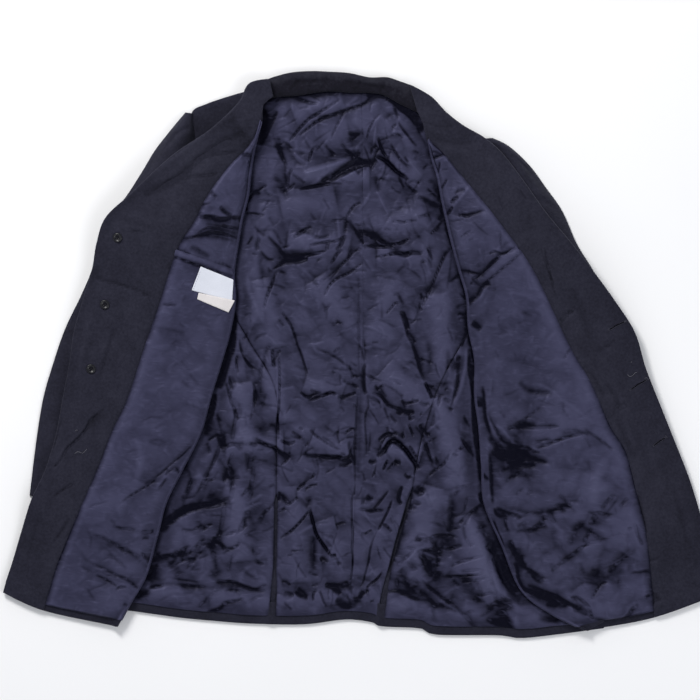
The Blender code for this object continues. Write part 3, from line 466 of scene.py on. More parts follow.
# ---------------------------------------------------------------- creases
# depth: height of the ridge, below 0 for a trough; width: half of it; lean: its sign says
# which side is the gentle one, the path's left where it isn't below 0
Crease = namedtuple("Crease", "depth width lean path")
CREASE_SHARP = 1.8      # power of the fall beside a crease
CREASE_REACH = 11.0     # how far it is felt, in half widths
CREASE_NARROW = 0.68    # share of the half width that a row states
CREASE_TAPER = 0.6      # power of the fade at both ends
LEAST_WIDTH = 1.4       # least half width
HALO = 0.24             # share of the depth that goes into a wide soft strip
HALO_WIDE = 4.6         # width of the strip on the gentle side, in half widths
HALO_NARROW = 0.35      # share of that on the sharp side
HALO_SHARP = 1.4
LIP = 0.12              # the sharp side of a crease stands up a little
LIP_PLACE = 2.0         # this many half widths away
LIP_WIDTH = 0.9
SHADOW_EDGE = 1.5       # width of a shadow on its crisp side
SHADOW_SHARP = 1.3
SHADOW_TAPER = 0.5
PATH_STEPS = 5          # points of a rounded path for each point of a table
CELLS = 64              # random values repeat after this many cells
PUFF_WARP = 0.22        # how far the patches of crushed cloth are bent
PUFF_SCATTER = 0.42     # and how far their middles lie off a grid


def across(s):
    """Section of a crease over its half width: a narrow fold in a wide soft one."""
    away = np.abs(s)
    wide = HALO_WIDE * np.where(s > 0, 1.0, HALO_NARROW)
    lip = np.where(s > 0, 0.0, LIP) * np.exp(-((away - LIP_PLACE) / LIP_WIDTH) ** 2)
    return ((1 - HALO) * np.exp(-away ** CREASE_SHARP)
            + HALO * np.exp(-(away / wide) ** HALO_SHARP) - lip)


def from_table(rows):
    """Creases from rows of height, half width, then x, y of the points."""
    made = []
    for depth, width, *rest in rows:
        path = tuple(zip(rest[::2], rest[1::2]))
        lean = math.sin(7.0 * (path[0][0] + path[-1][1]))
        made.append(Crease(depth, width, lean, path))
    return made


def rounded(points):
    """A smooth path through a few points."""
    return smooth(points, np.linspace(0, len(points) - 1, PATH_STEPS * len(points)))


def taper(share, power):
    """Fades from 1 at the middle of a path to 0 at its ends."""
    return np.clip(4 * share * (1 - share), 0, 1) ** power


def beside(path, x, y):
    """Distance from a path, whether it is on the path's left, and the share that is passed."""
    point = np.stack((x, y), -1)[:, None]
    along = np.diff(path, axis=0)
    share = np.clip(((point - path[:-1]) * along).sum(-1) / (along ** 2).sum(-1), 0, 1)
    off = point - path[:-1] - share[..., None] * along
    distance = np.hypot(off[..., 0], off[..., 1])
    k = distance.argmin(1)
    every = np.arange(len(k))
    left = along[k, 0] * off[every, k, 1] - along[k, 1] * off[every, k, 0]
    return distance[every, k], left > 0, (k + share[every, k]) / len(along)


def ridges(folds, x, y):
    """Height of the broad folds at the points."""
    total = np.zeros(x.shape)
    for fold in folds:
        start, end = np.array(fold.start, float), np.array(fold.end, float)
        along = end - start
        share = ((x - start[0]) * along[0] + (y - start[1]) * along[1]) / (along @ along)
        near = np.clip(share, 0, 1)
        away = np.hypot(x - start[0] - near * along[0], y - start[1] - near * along[1])
        total += fold.height * taper(near, 0.5) * np.exp(-(away / fold.width) ** 2)
    return total


def relief(creases, x, y):
    """Height of all creases at the points."""
    total = np.zeros(x.shape)
    for crease in creases:
        path = rounded(crease.path)
        reach = CREASE_REACH * crease.width
        near = ((x > path[:, 0].min() - reach) & (x < path[:, 0].max() + reach)
                & (y > path[:, 1].min() - reach) & (y < path[:, 1].max() + reach))
        if not near.any():
            continue
        distance, left, done = beside(path, x[near], y[near])
        width = max(CREASE_NARROW * crease.width, LEAST_WIDTH)
        side = np.where(left, 1, -1) * (1 if crease.lean >= 0 else -1)
        total[near] += crease.depth * taper(done, CREASE_TAPER) * across(side * distance / width)
    return total


def shadows(rows, x, y):
    """Dark strips with one crisp edge: shade, width, then x, y of the edge's points.

    The soft side is on the left of the path.
    """
    total = np.zeros(x.shape)
    for strength, width, *rest in rows:
        path = rounded(tuple(zip(rest[::2], rest[1::2])))
        off_x, off_y = x - path[:, 0].mean(), y - path[:, 1].mean()
        reach = 3 * width + np.ptp(path, axis=0).max()
        near = (np.abs(off_x) < reach) & (np.abs(off_y) < reach)
        if not near.any():
            continue
        distance, left, done = beside(path, x[near], y[near])
        spread = np.where(left, width, SHADOW_EDGE)
        total[near] += (SHADOW_STRENGTH * strength * taper(done, SHADOW_TAPER)
                        * np.exp(-(distance / spread) ** SHADOW_SHARP))
    return total


def puffs(x, y, size, seed, turn=0.4, stretch=1.6):
    """Crushed cloth from about -1 to 1: rounded patches that meet in straight valleys."""
    u = (x * math.cos(turn) + y * math.sin(turn)) / (size * stretch)
    v = (y * math.cos(turn) - x * math.sin(turn)) / size
    u = u + PUFF_WARP * noise(x, y, 0.8 * size, seed + 3)
    v = v + PUFF_WARP * noise(x, y, 0.8 * size, seed + 4)
    i0, j0 = np.floor(u).astype(int), np.floor(v).astype(int)
    cells = np.random.default_rng(seed).uniform(-1, 1, (CELLS, CELLS, 3))
    best = np.full(x.shape, -9.0)
    for a in range(-2, 3):
        for b in range(-2, 3):
            cell = cells[(i0 + a) % CELLS, (j0 + b) % CELLS]
            away_u = u - i0 - a - 0.5 - PUFF_SCATTER * cell[..., 0]
            away_v = v - j0 - b - 0.5 - PUFF_SCATTER * cell[..., 1]
            best = np.maximum(best, 0.3 * cell[..., 2] - away_u ** 2 - away_v ** 2)
    return np.clip(2.4 * (best + 0.16), -1.6, 1.2)


def noise(x, y, size, seed):
    """Smooth random heights from -1 to 1, with this distance between them."""
    total = 0.0
    for turn, part in ((0.5, 0.5), (1.6, 0.35), (2.6, 0.25)):
        cells = np.random.default_rng(seed + int(10 * turn)).uniform(-1, 1, (CELLS, CELLS))
        i = (y * math.cos(turn) - x * math.sin(turn)) / (size * (0.6 + 0.3 * turn)) + 31.5
        j = (y * math.sin(turn) + x * math.cos(turn)) / (size * (0.6 + 0.3 * turn)) + 31.5
        i0, j0 = np.floor(i).astype(int), np.floor(j).astype(int)
        fi, fj = ease(i - i0), ease(j - j0)
        c = [[cells[(i0 + a) % CELLS, (j0 + b) % CELLS] for b in (0, 1)] for a in (0, 1)]
        total = total + part * ((c[0][0] * (1 - fj) + c[0][1] * fj) * (1 - fi)
                                + (c[1][0] * (1 - fj) + c[1][1] * fj) * fi)
    return total


def crinkles(seed, count, low, high, angle, spread, length, depth):
    """Small random creases in a box, around one direction."""
    random = np.random.default_rng(seed)
    made = []
    for _ in range(count):
        middle = random.uniform(low, high)
        turn = math.radians(angle + random.normal(0, spread))
        half = random.uniform(0.3, 1.0) * length / 2
        bow = random.normal(0, 0.18) * half
        way = np.array((math.cos(turn), math.sin(turn)))
        side = np.array((-way[1], way[0]))
        path = (middle - way * half, middle + side * bow, middle + way * half)
        height = depth * random.uniform(0.4, 1.0) * random.choice((-1, -1, 1))
        made.append(Crease(height, random.uniform(1.6, 3.2), random.uniform(-1, 1), path))
    return made


# ---------------------------------------------------------------- meshes
def blurred(values, spread):
    """Gaussian blur, with its spread in cells."""
    for _ in range(2):
        place = np.arange(len(values))
        weight = np.exp(-0.5 * ((place[:, None] - place) / spread) ** 2)
        values = (weight / weight.sum(1, keepdims=True) @ values).T
    return values


def normals(grid, sign):
    n = np.cross(np.gradient(grid, axis=1), np.gradient(grid, axis=0)) * sign
    return n / np.maximum(np.linalg.norm(n, axis=-1, keepdims=True), 1e-9)


def border(rows, columns):
    """Indices round a grid, and of the point inside of each."""
    i = np.concatenate((np.zeros(columns - 1), np.arange(rows - 1),
                        np.full(columns - 1, rows - 1), np.arange(rows - 1, 0, -1))).astype(int)
    j = np.concatenate((np.arange(columns - 1), np.full(rows - 1, columns - 1),
                        np.arange(columns - 1, 0, -1), np.zeros(rows - 1))).astype(int)
    inside = np.clip(i, 1, rows - 2) * columns + np.clip(j, 1, columns - 2)
    return i * columns + j, inside


def mesh_object(name, points, groups, material, shade=None):
    """A smooth mesh; each group is an array of faces with the same number of corners."""
    sizes = np.concatenate([np.full(len(group), np.shape(group)[1]) for group in groups])
    corners = np.concatenate([np.ravel(group) for group in groups])
    mesh = bpy.data.meshes.new(name)
    mesh.vertices.add(len(points))
    mesh.vertices.foreach_set("co", (np.asarray(points) * MM).ravel())
    mesh.loops.add(len(corners))
    mesh.loops.foreach_set("vertex_index", corners)
    mesh.polygons.add(len(sizes))
    mesh.polygons.foreach_set("loop_start", np.cumsum(sizes) - sizes)
    mesh.update(calc_edges=True)
    mesh.shade_smooth()
    if shade is not None:
        mesh.attributes.new("shade", "FLOAT", "POINT").data.foreach_set("value", shade)
    mesh.materials.append(material)
    item = bpy.data.objects.new(name, mesh)
    bpy.context.scene.collection.objects.link(item)
    return item


def grid_faces(rows, columns):
    a = (np.arange(rows - 1)[:, None] * columns + np.arange(columns - 1)).ravel()
    return np.stack((a, a + 1, a + 1 + columns, a + columns), 1)


def thinned(count):
    """Every third index, and the last."""
    return np.unique(np.append(np.arange(0, count, 3), count - 1))


def shell(name, top, thickness, sign, material, shade=None, bulge=0.45):
    """A closed thin wall below a grid of points, with a rounded rim and a coarser underside."""
    rows, columns, _ = top.shape
    upper = top.reshape(-1, 3)
    under = (top - normals(top, sign) * thickness).reshape(-1, 3)
    i, j = thinned(rows), thinned(columns)
    kept = (i[:, None] * columns + j).ravel()
    ring, inside = border(rows, columns)
    outward = upper[ring] - upper[inside]
    outward /= np.maximum(np.linalg.norm(outward, axis=1, keepdims=True), 1e-9)
    rim = (upper[ring] + under[ring]) / 2 + outward * thickness * bulge
    low = len(upper)
    m = low + len(kept) + np.arange(len(ring))
    groups = {4: [grid_faces(rows, columns), grid_faces(len(i), len(j))[:, ::-1] + low,
                  np.stack((np.roll(ring, -1), ring, m, np.roll(m, -1)), 1)]}
    knots = np.flatnonzero(np.isin(ring, kept))
    below = low + np.searchsorted(kept, ring[knots])
    for k, start in enumerate(knots):
        end = knots[(k + 1) % len(knots)]
        span = np.arange(start, end + 1 if end > start else end + 1 + len(ring)) % len(ring)
        face = [*m[span][::-1], below[k], below[(k + 1) % len(knots)]]
        groups.setdefault(len(face), []).append(np.array([face]))
    groups = [np.vstack(group) for group in groups.values()]
    if sign < 0:
        groups = [group[:, ::-1] for group in groups]
    values = None
    if shade is not None:
        flat = shade.ravel().astype(np.float32)
        values = np.concatenate((flat, flat[kept], flat[ring]))
    return mesh_object(name, np.vstack((upper, under[kept], rim)), groups, material, values)


def fold_shade(z, spacing, strength=1.0):
    """How far each point lies below (above 0) or above its surroundings, near and wide."""
    value = sum((blurred(z, spread / spacing) - z) / scale for spread, scale in SHADE_SCALES)
    return strength * value - SHADE_BIAS


def crease_shade(height):
    """Shade of the creases alone: below 0 in a trough."""
    return CREASE_MOST * np.tanh(CREASE_SHADE * height / CREASE_MOST)


def finish(item, slot, *nodes):
    """The piece rides on the body and stands for these nodes, which it hides; slot is not used."""
    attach(item, "root")
    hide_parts(*nodes)
    return item


# ---------------------------------------------------------------- places on the frame
def tree_of(*nodes):
    """A search tree of these nodes' surfaces, in millimetres."""
    points, faces = [], []
    for node in nodes:
        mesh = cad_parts[node].data
        start = len(points)
        points.extend(vertex.co / MM for vertex in mesh.vertices)
        faces.extend([start + i for i in polygon.vertices] for polygon in mesh.polygons)
    return BVHTree.FromPolygons(points, faces)


def height_on(tree, x, y):
    """Heights met by looking down at the points; nan beside them."""
    down = Vector((0, 0, -1))
    z = np.full(x.shape, np.nan)
    for i in np.ndindex(x.shape):
        place = tree.ray_cast(Vector((x[i], y[i], 300)), down)[0]
        if place is not None:
            z[i] = place.z
    return z


def filled(z):
    """Rows with nan replaced by their nearest heights."""
    for line in z:
        good = np.flatnonzero(~np.isnan(line))
        if len(good):
            line[:] = np.interp(np.arange(len(line)), good, line[good])
    return z


# ---------------------------------------------------------------- back and side linings
def kept_above(floor, wanted):
    """The wanted heights, eased so that they stay above the floor."""
    return floor + np.logaddexp(0, (wanted - floor) * 2.0) / 2.0


def panel_points(inner, outer, top, bottom, width, length, spacing):
    """Points between two lines that run down and two that run across."""
    u = np.linspace(0, 1, steps(width, spacing) + 1)[None]
    v = np.linspace(0, 1, steps(length, spacing) + 1)[:, None]
    x = np.full((v.size, u.size), 0.5 * (inner(0.0) + outer(0.0)))
    for _ in range(9):
        y = (1 - v) * top(x) + v * bottom(x)
        x = (1 - u) * inner(y) + u * outer(y)
    return x, y


def seam_dip(grid, depth, width, edges):
    """A dip of the rows or columns beside sewn edges: 'l', 'r', 't' and 'b'."""
    dip = np.zeros(grid.shape[:2])
    for edge in edges:
        axis = 1 if edge in "lr" else 0
        moved = np.linalg.norm(np.diff(grid[..., :2], axis=axis), axis=-1)
        zero = np.zeros_like(np.take(moved, [0], axis))
        away = np.concatenate((zero, np.cumsum(moved, axis)), axis)
        if edge in "rb":
            away = np.take(away, [-1], axis) - away
        dip = np.maximum(dip, np.exp(-(away / width) ** 1.5))
    return -depth * dip


def lining_height(side, x, y):
    """Top of the back lining at rest on the shell, without its creases, and how free it is."""
    fold_line = tuple(rib.fold for rib in side.ribs)
    clear_of_fold = ease((side.sign * (x - x_on(fold_line, y)) - 10) / 22)
    from_hem = ease((y - y_on(HEM_LINE, x) - LINING_HEM) / 22)
    from_top = ease((y_on(TOP_LINE, x) - y - 4) / 22)
    free = clear_of_fold * from_hem * from_top
    z = WOOL + CLEAR + LINING + ABOVE_RAISE * neck_raise(x, y) + hem_raise(x, y) + BILLOW * free
    return z, free


def back_lining(side, material):
    """The satin of one half of the back and of the side beyond the vent."""
    outward = -side.sign
    side_line = tuple(rib.side for rib in side.ribs[4:])
    fold_line = tuple(rib.fold for rib in side.ribs)

    def seam(y, inset):
        return x_on(side.seam_line, y) + outward * inset

    def under_fold(y):
        return x_on(fold_line, y) + outward * UNDERLAP

    def nearer(a, b):
        return np.maximum(a, b) if outward < 0 else np.minimum(a, b)

    def vent(y):
        strip = (VENT_HALF - VENT_SLIT) * ease((STRIP_TOP - y) / 60)
        return GAP / 2 + VENT_SLIT * ease((VENT_TOP - y) / 18) + strip

    def outer(y):
        on_side = np.where(y > ARMHOLE_TO_SIDE, x_on(side_line, y), seam(y, -vent(y)))
        return nearer(on_side, under_fold(y))

    def hem(x):
        return y_on(HEM_LINE, x) + LINING_HEM + LINING_HEM_WAVE * noise(x, 0 * x, 30, 4)

    for name, lines, top in (
            ("back", (lambda y: x_on(CENTRE_LINE, y) + outward * 0.1, outer),
             lambda x: y_on(TOP_LINE, x)),
            ("side", (lambda y: seam(y, vent(y)),
                      lambda y: outward * np.maximum(outward * under_fold(y),
                                                     outward * seam(y, vent(y)) + NARROWEST)),
             lambda x: 0 * x + SIDE_LINING_TOP[side.name])):
        width, spacing = LINING_GRID[name]
        x, y = panel_points(*lines, top, hem, width, top(0.0) + HEM_DEPTH, spacing)
        z, free = lining_height(side, x, y)
        grid = np.stack((x, y, z), -1)
        z = z + seam_dip(grid, SEAM_DIP, 2.2, "r" if name == "back" else "l")
        z = z + seam_dip(grid, CENTRE_DIP, 1.8, "l") * (name == "back")
        z = z + free * (ridges(BACK_FOLDS, x, y) - BACK_SINK)
        fine = relief(BACK_CREASES, x, y)
        busy = np.clip(0.7 + 0.6 * noise(x, y, 110, 3), 0.3, 1.2)
        small = relief(BACK_CRINKLES, x, y) + busy * (
            1.1 * puffs(x, y, 34, 5) + 0.5 * puffs(x, y, 15, 6, -0.8)) + 0.5 * noise(x, y, 22, 5)
        floor = WOOL + CLEAR + ABOVE_RAISE * neck_raise(x, y) + hem_raise(x, y) + 0.3
        dark = shadows(BACK_SHADOWS, x, y)
        wanted = z + (0.3 + 0.7 * free) * (fine - SHADOW_DEEP * dark) + free * small
        grid[..., 2] = blurred(kept_above(floor, wanted), 0.5)
        to_fold = side.sign * (x - x_on(fold_line, y))
        # Painted shade in the colour: hollows and troughs darker and ridges lighter, the shadow table's
        # strips, a shadow beside the front's fold and, on the back piece, one in front of the collar.
        shade = (fold_shade(blurred(z + free * small, 0.6), spacing) - crease_shade(blurred(fine, 0.62))
                 + dark + FOLD_SHADOW * np.exp(-(np.maximum(to_fold, 0) / FOLD_SHADOW_WIDE) ** 2))
        below_collar = (y_on(TOP_LINE, x) - y) / NECK_SHADOW_WIDE
        shade = shade + NECK_SHADOW * np.exp(-below_collar ** 2) * (name == "back")
        item = shell(f"{name}_satin_{side.name}", grid, LINING_WALL, side.sign, material,
                     np.tanh(shade))
        finish(item, "lining", f"{name}_lining_{side.name}")


# ---------------------------------------------------------------- wool back, sides and hem
def shell_panels(side, material):
    """The wool of one half of the back and of the side, with the hem turned up."""
    outward = -side.sign
    side_line = tuple(rib.side for rib in side.ribs[4:])

    def seam(y, inset):
        return x_on(side.seam_line, y) + outward * inset

    def back_outer(y):
        return np.where(y > ARMHOLE_TO_SIDE, x_on(side_line, y) - outward * GAP / 2,
                        seam(y, -GAP / 2))

    for name, lines, top in (
            ("back", (lambda y: x_on(CENTRE_LINE, y) + outward * 0.2, back_outer),
             lambda x: y_on(TOP_LINE, x)),
            ("side", (lambda y: seam(y, GAP / 2),
                      lambda y: x_on(side_line, y) - outward * GAP / 2),
             lambda x: 0 * x + ARMHOLE_TO_SIDE)):
        x, y = panel_points(*lines, top, lambda x: y_on(HEM_LINE, x) + WOOL + GAP, 200,
                            top(0.0) + HEM_DEPTH, COARSE)
        z = WOOL + neck_raise(x, y) + vent_ridge(side, x, y)
        main = np.stack((x, y, z), -1)
        hem = main[-1]
        angles = np.linspace(-0.5, 0.5, 7)[1:] * math.pi
        r = GAP / 2
        bend = [hem + np.stack((0 * hem[:, 0], 0 * hem[:, 0] - r * math.cos(a),
                                0 * hem[:, 0] + r + r * math.sin(a)), 1) for a in angles]
        up = [bend[-1] + np.array((0, d, 0)) for d in np.linspace(0, TURN_UP, 13)[1:]]
        grid = np.concatenate((main, np.array(bend), np.array(up)))
        outer_face = grid - normals(grid, side.sign) * WOOL
        wave = 0.5 * noise(outer_face[..., 0], outer_face[..., 1], 22, 8)
        outer_face[len(main) + 6:, :, 2] += wave[len(main) + 6:]
        outer_face[..., 2] = np.maximum(outer_face[..., 2], 0.0)
        item = shell(f"{name}_wool_{side.name}", outer_face, WOOL - 0.1, -side.sign, material)
        finish(item, "wool", f"{name}_{side.name}")


def vent_ridge(side, x, y):
    """The wool strip of a side vent stands up between the linings."""
    away = np.abs(x - x_on(side.seam_line, y))
    return 2.4 * np.exp(-(away / 4.0) ** 4) * ease((STRIP_TOP - y) / 30)


# ---------------------------------------------------------------- fronts
def front_lines(side, t):
    """Fold, seam, edge, side, middle of the bend and the way out, for each row."""
    lines = {name: smooth([getattr(rib, name) for rib in side.ribs], t) for name in Rib._fields}
    way = (lines["seam"] + lines["edge"]) / 2 - lines["fold"]
    way /= np.linalg.norm(way, axis=1, keepdims=True)
    lines["middle"] = lines["fold"] + way * (BEND_INNER + WOOL + GAP + LINING)
    lines["way"] = way
    return lines


def lower_height(x, y, to_fold):
    """Top of the hidden layer of a front."""
    on_linings = np.clip(1 - (to_fold - LOWER_LEVEL) / LOWER_RAMP, 0, 1)
    above = y - y_on(HEM_LINE, x) - TURN_UP - STEP_SPARE
    step = (WOOL + GAP) * (1 - ease(above / STEP_SLOPE))
    return 2 * WOOL + CLEAR + ABOVE_RAISE * neck_raise(x, y) + step + STACK * on_linings


def upper_place(lines, share):
    """Points of the turned-out layer: 0 at the bend, 1 at the seam and 2 at the edge."""
    three = np.stack((lines["middle"], lines["seam"], lines["edge"]))
    return np.stack([smooth(three, s) for s in share], 1)


def upper_base(side):
    """The frame's top over the turned-out layer, smoothed, as a function of row and share."""
    t = np.linspace(0, len(side.ribs) - 1, 77)
    share = np.linspace(0, 2, 33)
    lines = front_lines(side, t)
    place = upper_place(lines, np.clip(share, 0.03, 1.975))
    tree = tree_of(f"facing_{side.name}", f"front_lining_{side.name}")
    z = filled(height_on(tree, place[..., 0], place[..., 1]))
    top_of_bend = lower_height(*lines["middle"].T, 0.0) + BEND_INNER + BEND_RADIUS
    z[:, 0] = top_of_bend
    z = blurred(z, 1.1)
    z[:, 0] = top_of_bend

    def base(rows, shares):
        along = smooth(z, np.asarray(rows) / t[-1] * (len(t) - 1))
        return smooth(along.T, np.asarray(shares) / 2 * (len(share) - 1)).T
    return base


def front_lining(side, base, material):
    """The satin of a front, from under its fold out to the facing."""
    rows = steps(760, FRONT_FINE)
    last = len(side.ribs) - 1
    t = np.linspace(2.0, last, rows + 1)
    t[-LAST_ROWS:] = np.linspace(t[-LAST_ROWS], last - LINING_END[side.name], LAST_ROWS)
    lines = front_lines(side, t)
    share = np.linspace(0, 1, steps(FRONT_LINING_WIDTH, FRONT_FINE) + 1)
    place = upper_place(lines, share)
    x, y = place[..., 0], place[..., 1]
    z = base(t, share)
    free = ease(share / 0.25) * ease((1 - share) / 0.1) * np.ones_like(z)
    free *= ease(np.arange(rows, -1, -1)[:, None] / 9) * ease(np.arange(rows + 1)[:, None] / 9)
    floor = z - 0.5
    z = z + free * FRONT_BILLOW
    grid = np.stack((x, y, z), -1)
    z = z + seam_dip(grid, SEAM_DIP, 2.4, "r")
    fine = relief(FRONT_CREASES, x, y)
    busy = np.clip(0.6 + 0.6 * noise(x, y, 110, 9), 0.25, 1.1)
    if side is LEFT:
        busy += 0.6 * ease((BUSY_FROM - y) / BUSY_OVER)
    small = relief(FRONT_CRINKLES, x, y) + busy * (
        0.8 * puffs(x, y, 38, 7, -0.5) + 0.3 * puffs(x, y, 16, 8)) + 0.4 * noise(x, y, 24, 7)
    dark = shadows(FRONT_SHADOWS, x, y)
    wanted = z + (0.35 + 0.65 * free) * (fine - SHADOW_DEEP * dark) + free * small
    # Painted shade in the colour: hollows and troughs darker and ridges lighter, and the shadow table's
    # strips.
    shade = np.tanh(fold_shade(blurred(z + free * small, 0.6), FRONT_FINE)
                    - crease_shade(blurred(fine, 0.62)) + dark)
    z = blurred(kept_above(floor, wanted), 0.5)
    grid[..., 2] = z
    centre = lower_height(*lines["middle"].T, 0.0) + BEND_INNER
    radius = z[:, 0] - centre
    angles = np.linspace(-0.5, 0.5, 11)[:-1] * math.pi
    bend = np.stack([np.column_stack((
        lines["middle"] - lines["way"] * (BEND_RADIUS * math.cos(a)),
        centre + np.where(a > 0, radius, BEND_RADIUS) * math.sin(a))) for a in angles], 1)
    back = np.stack([np.column_stack((lines["middle"] + lines["way"] * d,
                                      centre - BEND_RADIUS)) for d in (WRAP, 8, 4)], 1)
    whole = np.concatenate((back, bend, grid), 1)
    unseen = np.zeros((rows + 1, whole.shape[1] - shade.shape[1]))
    shade = np.concatenate((unseen, shade), 1)
    item = shell(f"front_satin_{side.name}", whole, LINING_WALL, side.sign, material, shade)
    return finish(item, "lining", f"front_lining_{side.name}")


def facing(side, base, material):
    """The wool facing, from the lining out to the edge and round it."""
    rows = steps(800, MIDDLE)
    t = np.linspace(0, len(side.ribs) - 1, rows + 1)
    lines = front_lines(side, t)
    share = np.linspace(1, 2, steps(120, MIDDLE) + 1)
    roll = ease((ROLL_END[side.name] - t) / 0.8) * ease((t - 0.3) / 0.8)
    radius = EDGE_RADIUS + (ROLL_RADIUS - EDGE_RADIUS) * roll
    way = lines["edge"] - lines["seam"]
    way /= np.linalg.norm(way, axis=1, keepdims=True)
    lines["edge"] = lines["edge"] - way * radius[:, None] * 0.8
    place = upper_place(lines, share)
    x, y = place[..., 0], place[..., 1]
    z = base(t, share) + 0.25 + relief(FACING_CREASES, x, y) + 0.35 * noise(x, y, 26, 7)
    grid = np.stack((x, y, z), -1)
    z = z + seam_dip(grid, 0.5, 1.8, "l")
    grid[..., 2] = z
    rim = []
    for a in np.linspace(0.5, -0.5, 9)[1:] * math.pi:
        rim.append(np.column_stack((
            lines["edge"] + way * (radius * 0.8 * math.cos(a))[:, None],
            z[:, -1] - radius * (1 - math.sin(a)))))
    whole = np.concatenate((grid, np.stack(rim, 1)), 1)
    # Painted shade in the colour from the facing's hollows and its shadow table; the rim gets none.
    dark = fold_shade(z, MIDDLE, 0.8) + shadows(FACING_SHADOWS, x, y)
    shade = np.concatenate((np.tanh(dark), np.zeros((rows + 1, len(rim)))), 1)
    item = shell(f"facing_wool_{side.name}", whole, WOOL_WALL, side.sign, material, shade)
    return finish(item, "wool", f"facing_{side.name}")


def front_shell(side, base, material):
    """The wool front: hidden layer, bend and turned-out layer."""
    rows = steps(800, COARSE)
    t = np.linspace(0, len(side.ribs) - 1, rows + 1)
    lines = front_lines(side, t)
    hidden = []
    width = np.linalg.norm(lines["side"] - lines["middle"], axis=1)
    for u in np.linspace(0, 1, 31)[:-1]:
        place = lines["side"] + (lines["middle"] - lines["side"]) * u
        z = lower_height(*place.T, (1 - u) * width) - WOOL
        hidden.append(np.column_stack((place, z)))
    centre = lower_height(*lines["middle"].T, 0.0) + BEND_INNER
    radius = BEND_INNER + WOOL
    for a in np.linspace(-0.5, 0.5, 9)[:-1] * math.pi:
        hidden.append(np.column_stack((
            lines["middle"] - lines["way"] * (radius * math.cos(a)),
            centre + radius * math.sin(a))))
    share = np.linspace(0, 1.985, 41)
    below = np.where(share < 1, LINING, FACING) + CLEAR + 0.8 * ease(share / 0.2)
    upper = np.concatenate((upper_place(lines, share), (base(t, share) - below)[..., None]), -1)
    whole = np.concatenate((np.stack(hidden, 1), upper), 1)
    item = shell(f"front_wool_{side.name}", whole, WOOL, side.sign, material)
    return finish(item, "wool", f"front_{side.name}")


def lapel(side, material):
    """The lapel, folded under the front along the roll line."""
    t_of = np.linspace(0, len(side.lapel) - 1, 49)
    t, width = smooth([(row.rib, row.width) for row in side.lapel], t_of).T
    edge = [rib.edge for rib in side.ribs]
    at = smooth(edge, t)
    along = smooth(edge, t + 0.05) - smooth(edge, t - 0.05)
    along /= np.linalg.norm(along, axis=1, keepdims=True)
    inward = side.sign * np.stack((-along[:, 1], along[:, 0]), 1)
    place = np.stack([at + inward * (1.5 + width * u)[:, None]
                      for u in np.linspace(0, 1, 15)], 1)
    z = height_on(tree_of(f"lapel_{side.name}"), place[..., 0], place[..., 1])
    z = blurred(filled(filled(z).T).T, 0.7)
    grid = np.concatenate((place, z[..., None]), -1)
    item = shell(f"lapel_wool_{side.name}", grid, 2.4, -side.sign, material)
    return finish(item, "wool", f"lapel_{side.name}")


# ---------------------------------------------------------------- sleeves
def sleeve(side, material):
    """A sleeve as one flattened tube with an arched top."""
    knots = [(rib.inner_y, rib.slack, *rib.outer, rib.height) for rib in side.sleeve]
    side_line = tuple(rib.side for rib in side.ribs[3:])
    rows = steps(620, 4.0)
    inner_y, slack, outer_x, outer_y, height = smooth(
        knots, np.linspace(0, len(knots) - 1, rows + 1)).T
    under = SLEEVE_UNDERLAP * ease((inner_y - 120) / 60)
    inner_x = x_on(side_line, inner_y) - side.sign * (1.4 + slack - under)
    low = WOOL + CLEAR
    top = []
    for u in np.linspace(0.0, 1.0, 34):
        x, y = (1 - u) * inner_x + u * outer_x, (1 - u) * inner_y + u * outer_y
        arch = math.sin(math.pi * u) ** 0.75 if 0 < u < 1 else 0.0
        z = low + (height - low) * arch + WOOL * min(1, 6 * min(u, 1 - u))
        z = z + relief(SLEEVE_CREASES, x, y) * min(1, 5 * min(u, 1 - u))
        top.append(np.stack((x, y, z), 1))
    bottom = []
    for u in np.linspace(1.0, 0.0, 16):
        x, y = (1 - u) * inner_x + u * outer_x, (1 - u) * inner_y + u * outer_y
        flat = 0.9 * (1 - ease(min(u, 1 - u) * 12))
        bottom.append(np.stack((x, y, 0 * x + flat), 1))
    return tube(f"sleeve_wool_{side.name}", np.stack(top + bottom, 1), 1.6, side.sign, material,
                "wool", (f"upper_sleeve_{side.name}", f"under_sleeve_{side.name}"))


def tube(name, rings, wall, sign, material, slot, nodes):
    """A closed loop of points for each ring, with a wall inside it, open at both ends."""
    count, around, _ = rings.shape
    looped = np.concatenate((rings[:, -1:], rings, rings[:, :1]), 1)
    n = normals(looped, sign)[:, 1:-1]
    points = np.concatenate((rings.reshape(-1, 3), (rings - n * wall).reshape(-1, 3)))
    i = np.arange(count - 1)[:, None] * around
    j = np.arange(around)[None]
    a, b = (i + j).ravel(), (i + (j + 1) % around).ravel()
    outside = np.stack((a, b, b + around, a + around), 1)
    size = count * around
    ends = []
    for row, turn in ((0, 1), (count - 1, -1)):
        a = row * around + np.arange(around)
        b = row * around + (np.arange(around) + 1) % around
        end = np.stack((b, a, a + size, b + size), 1)
        ends.append(end[:, ::turn])
    faces = np.vstack((outside, outside[:, ::-1] + size, *ends))
    if sign < 0:
        faces = faces[:, ::-1]
    return finish(mesh_object(name, points, [faces], material), slot, *nodes)


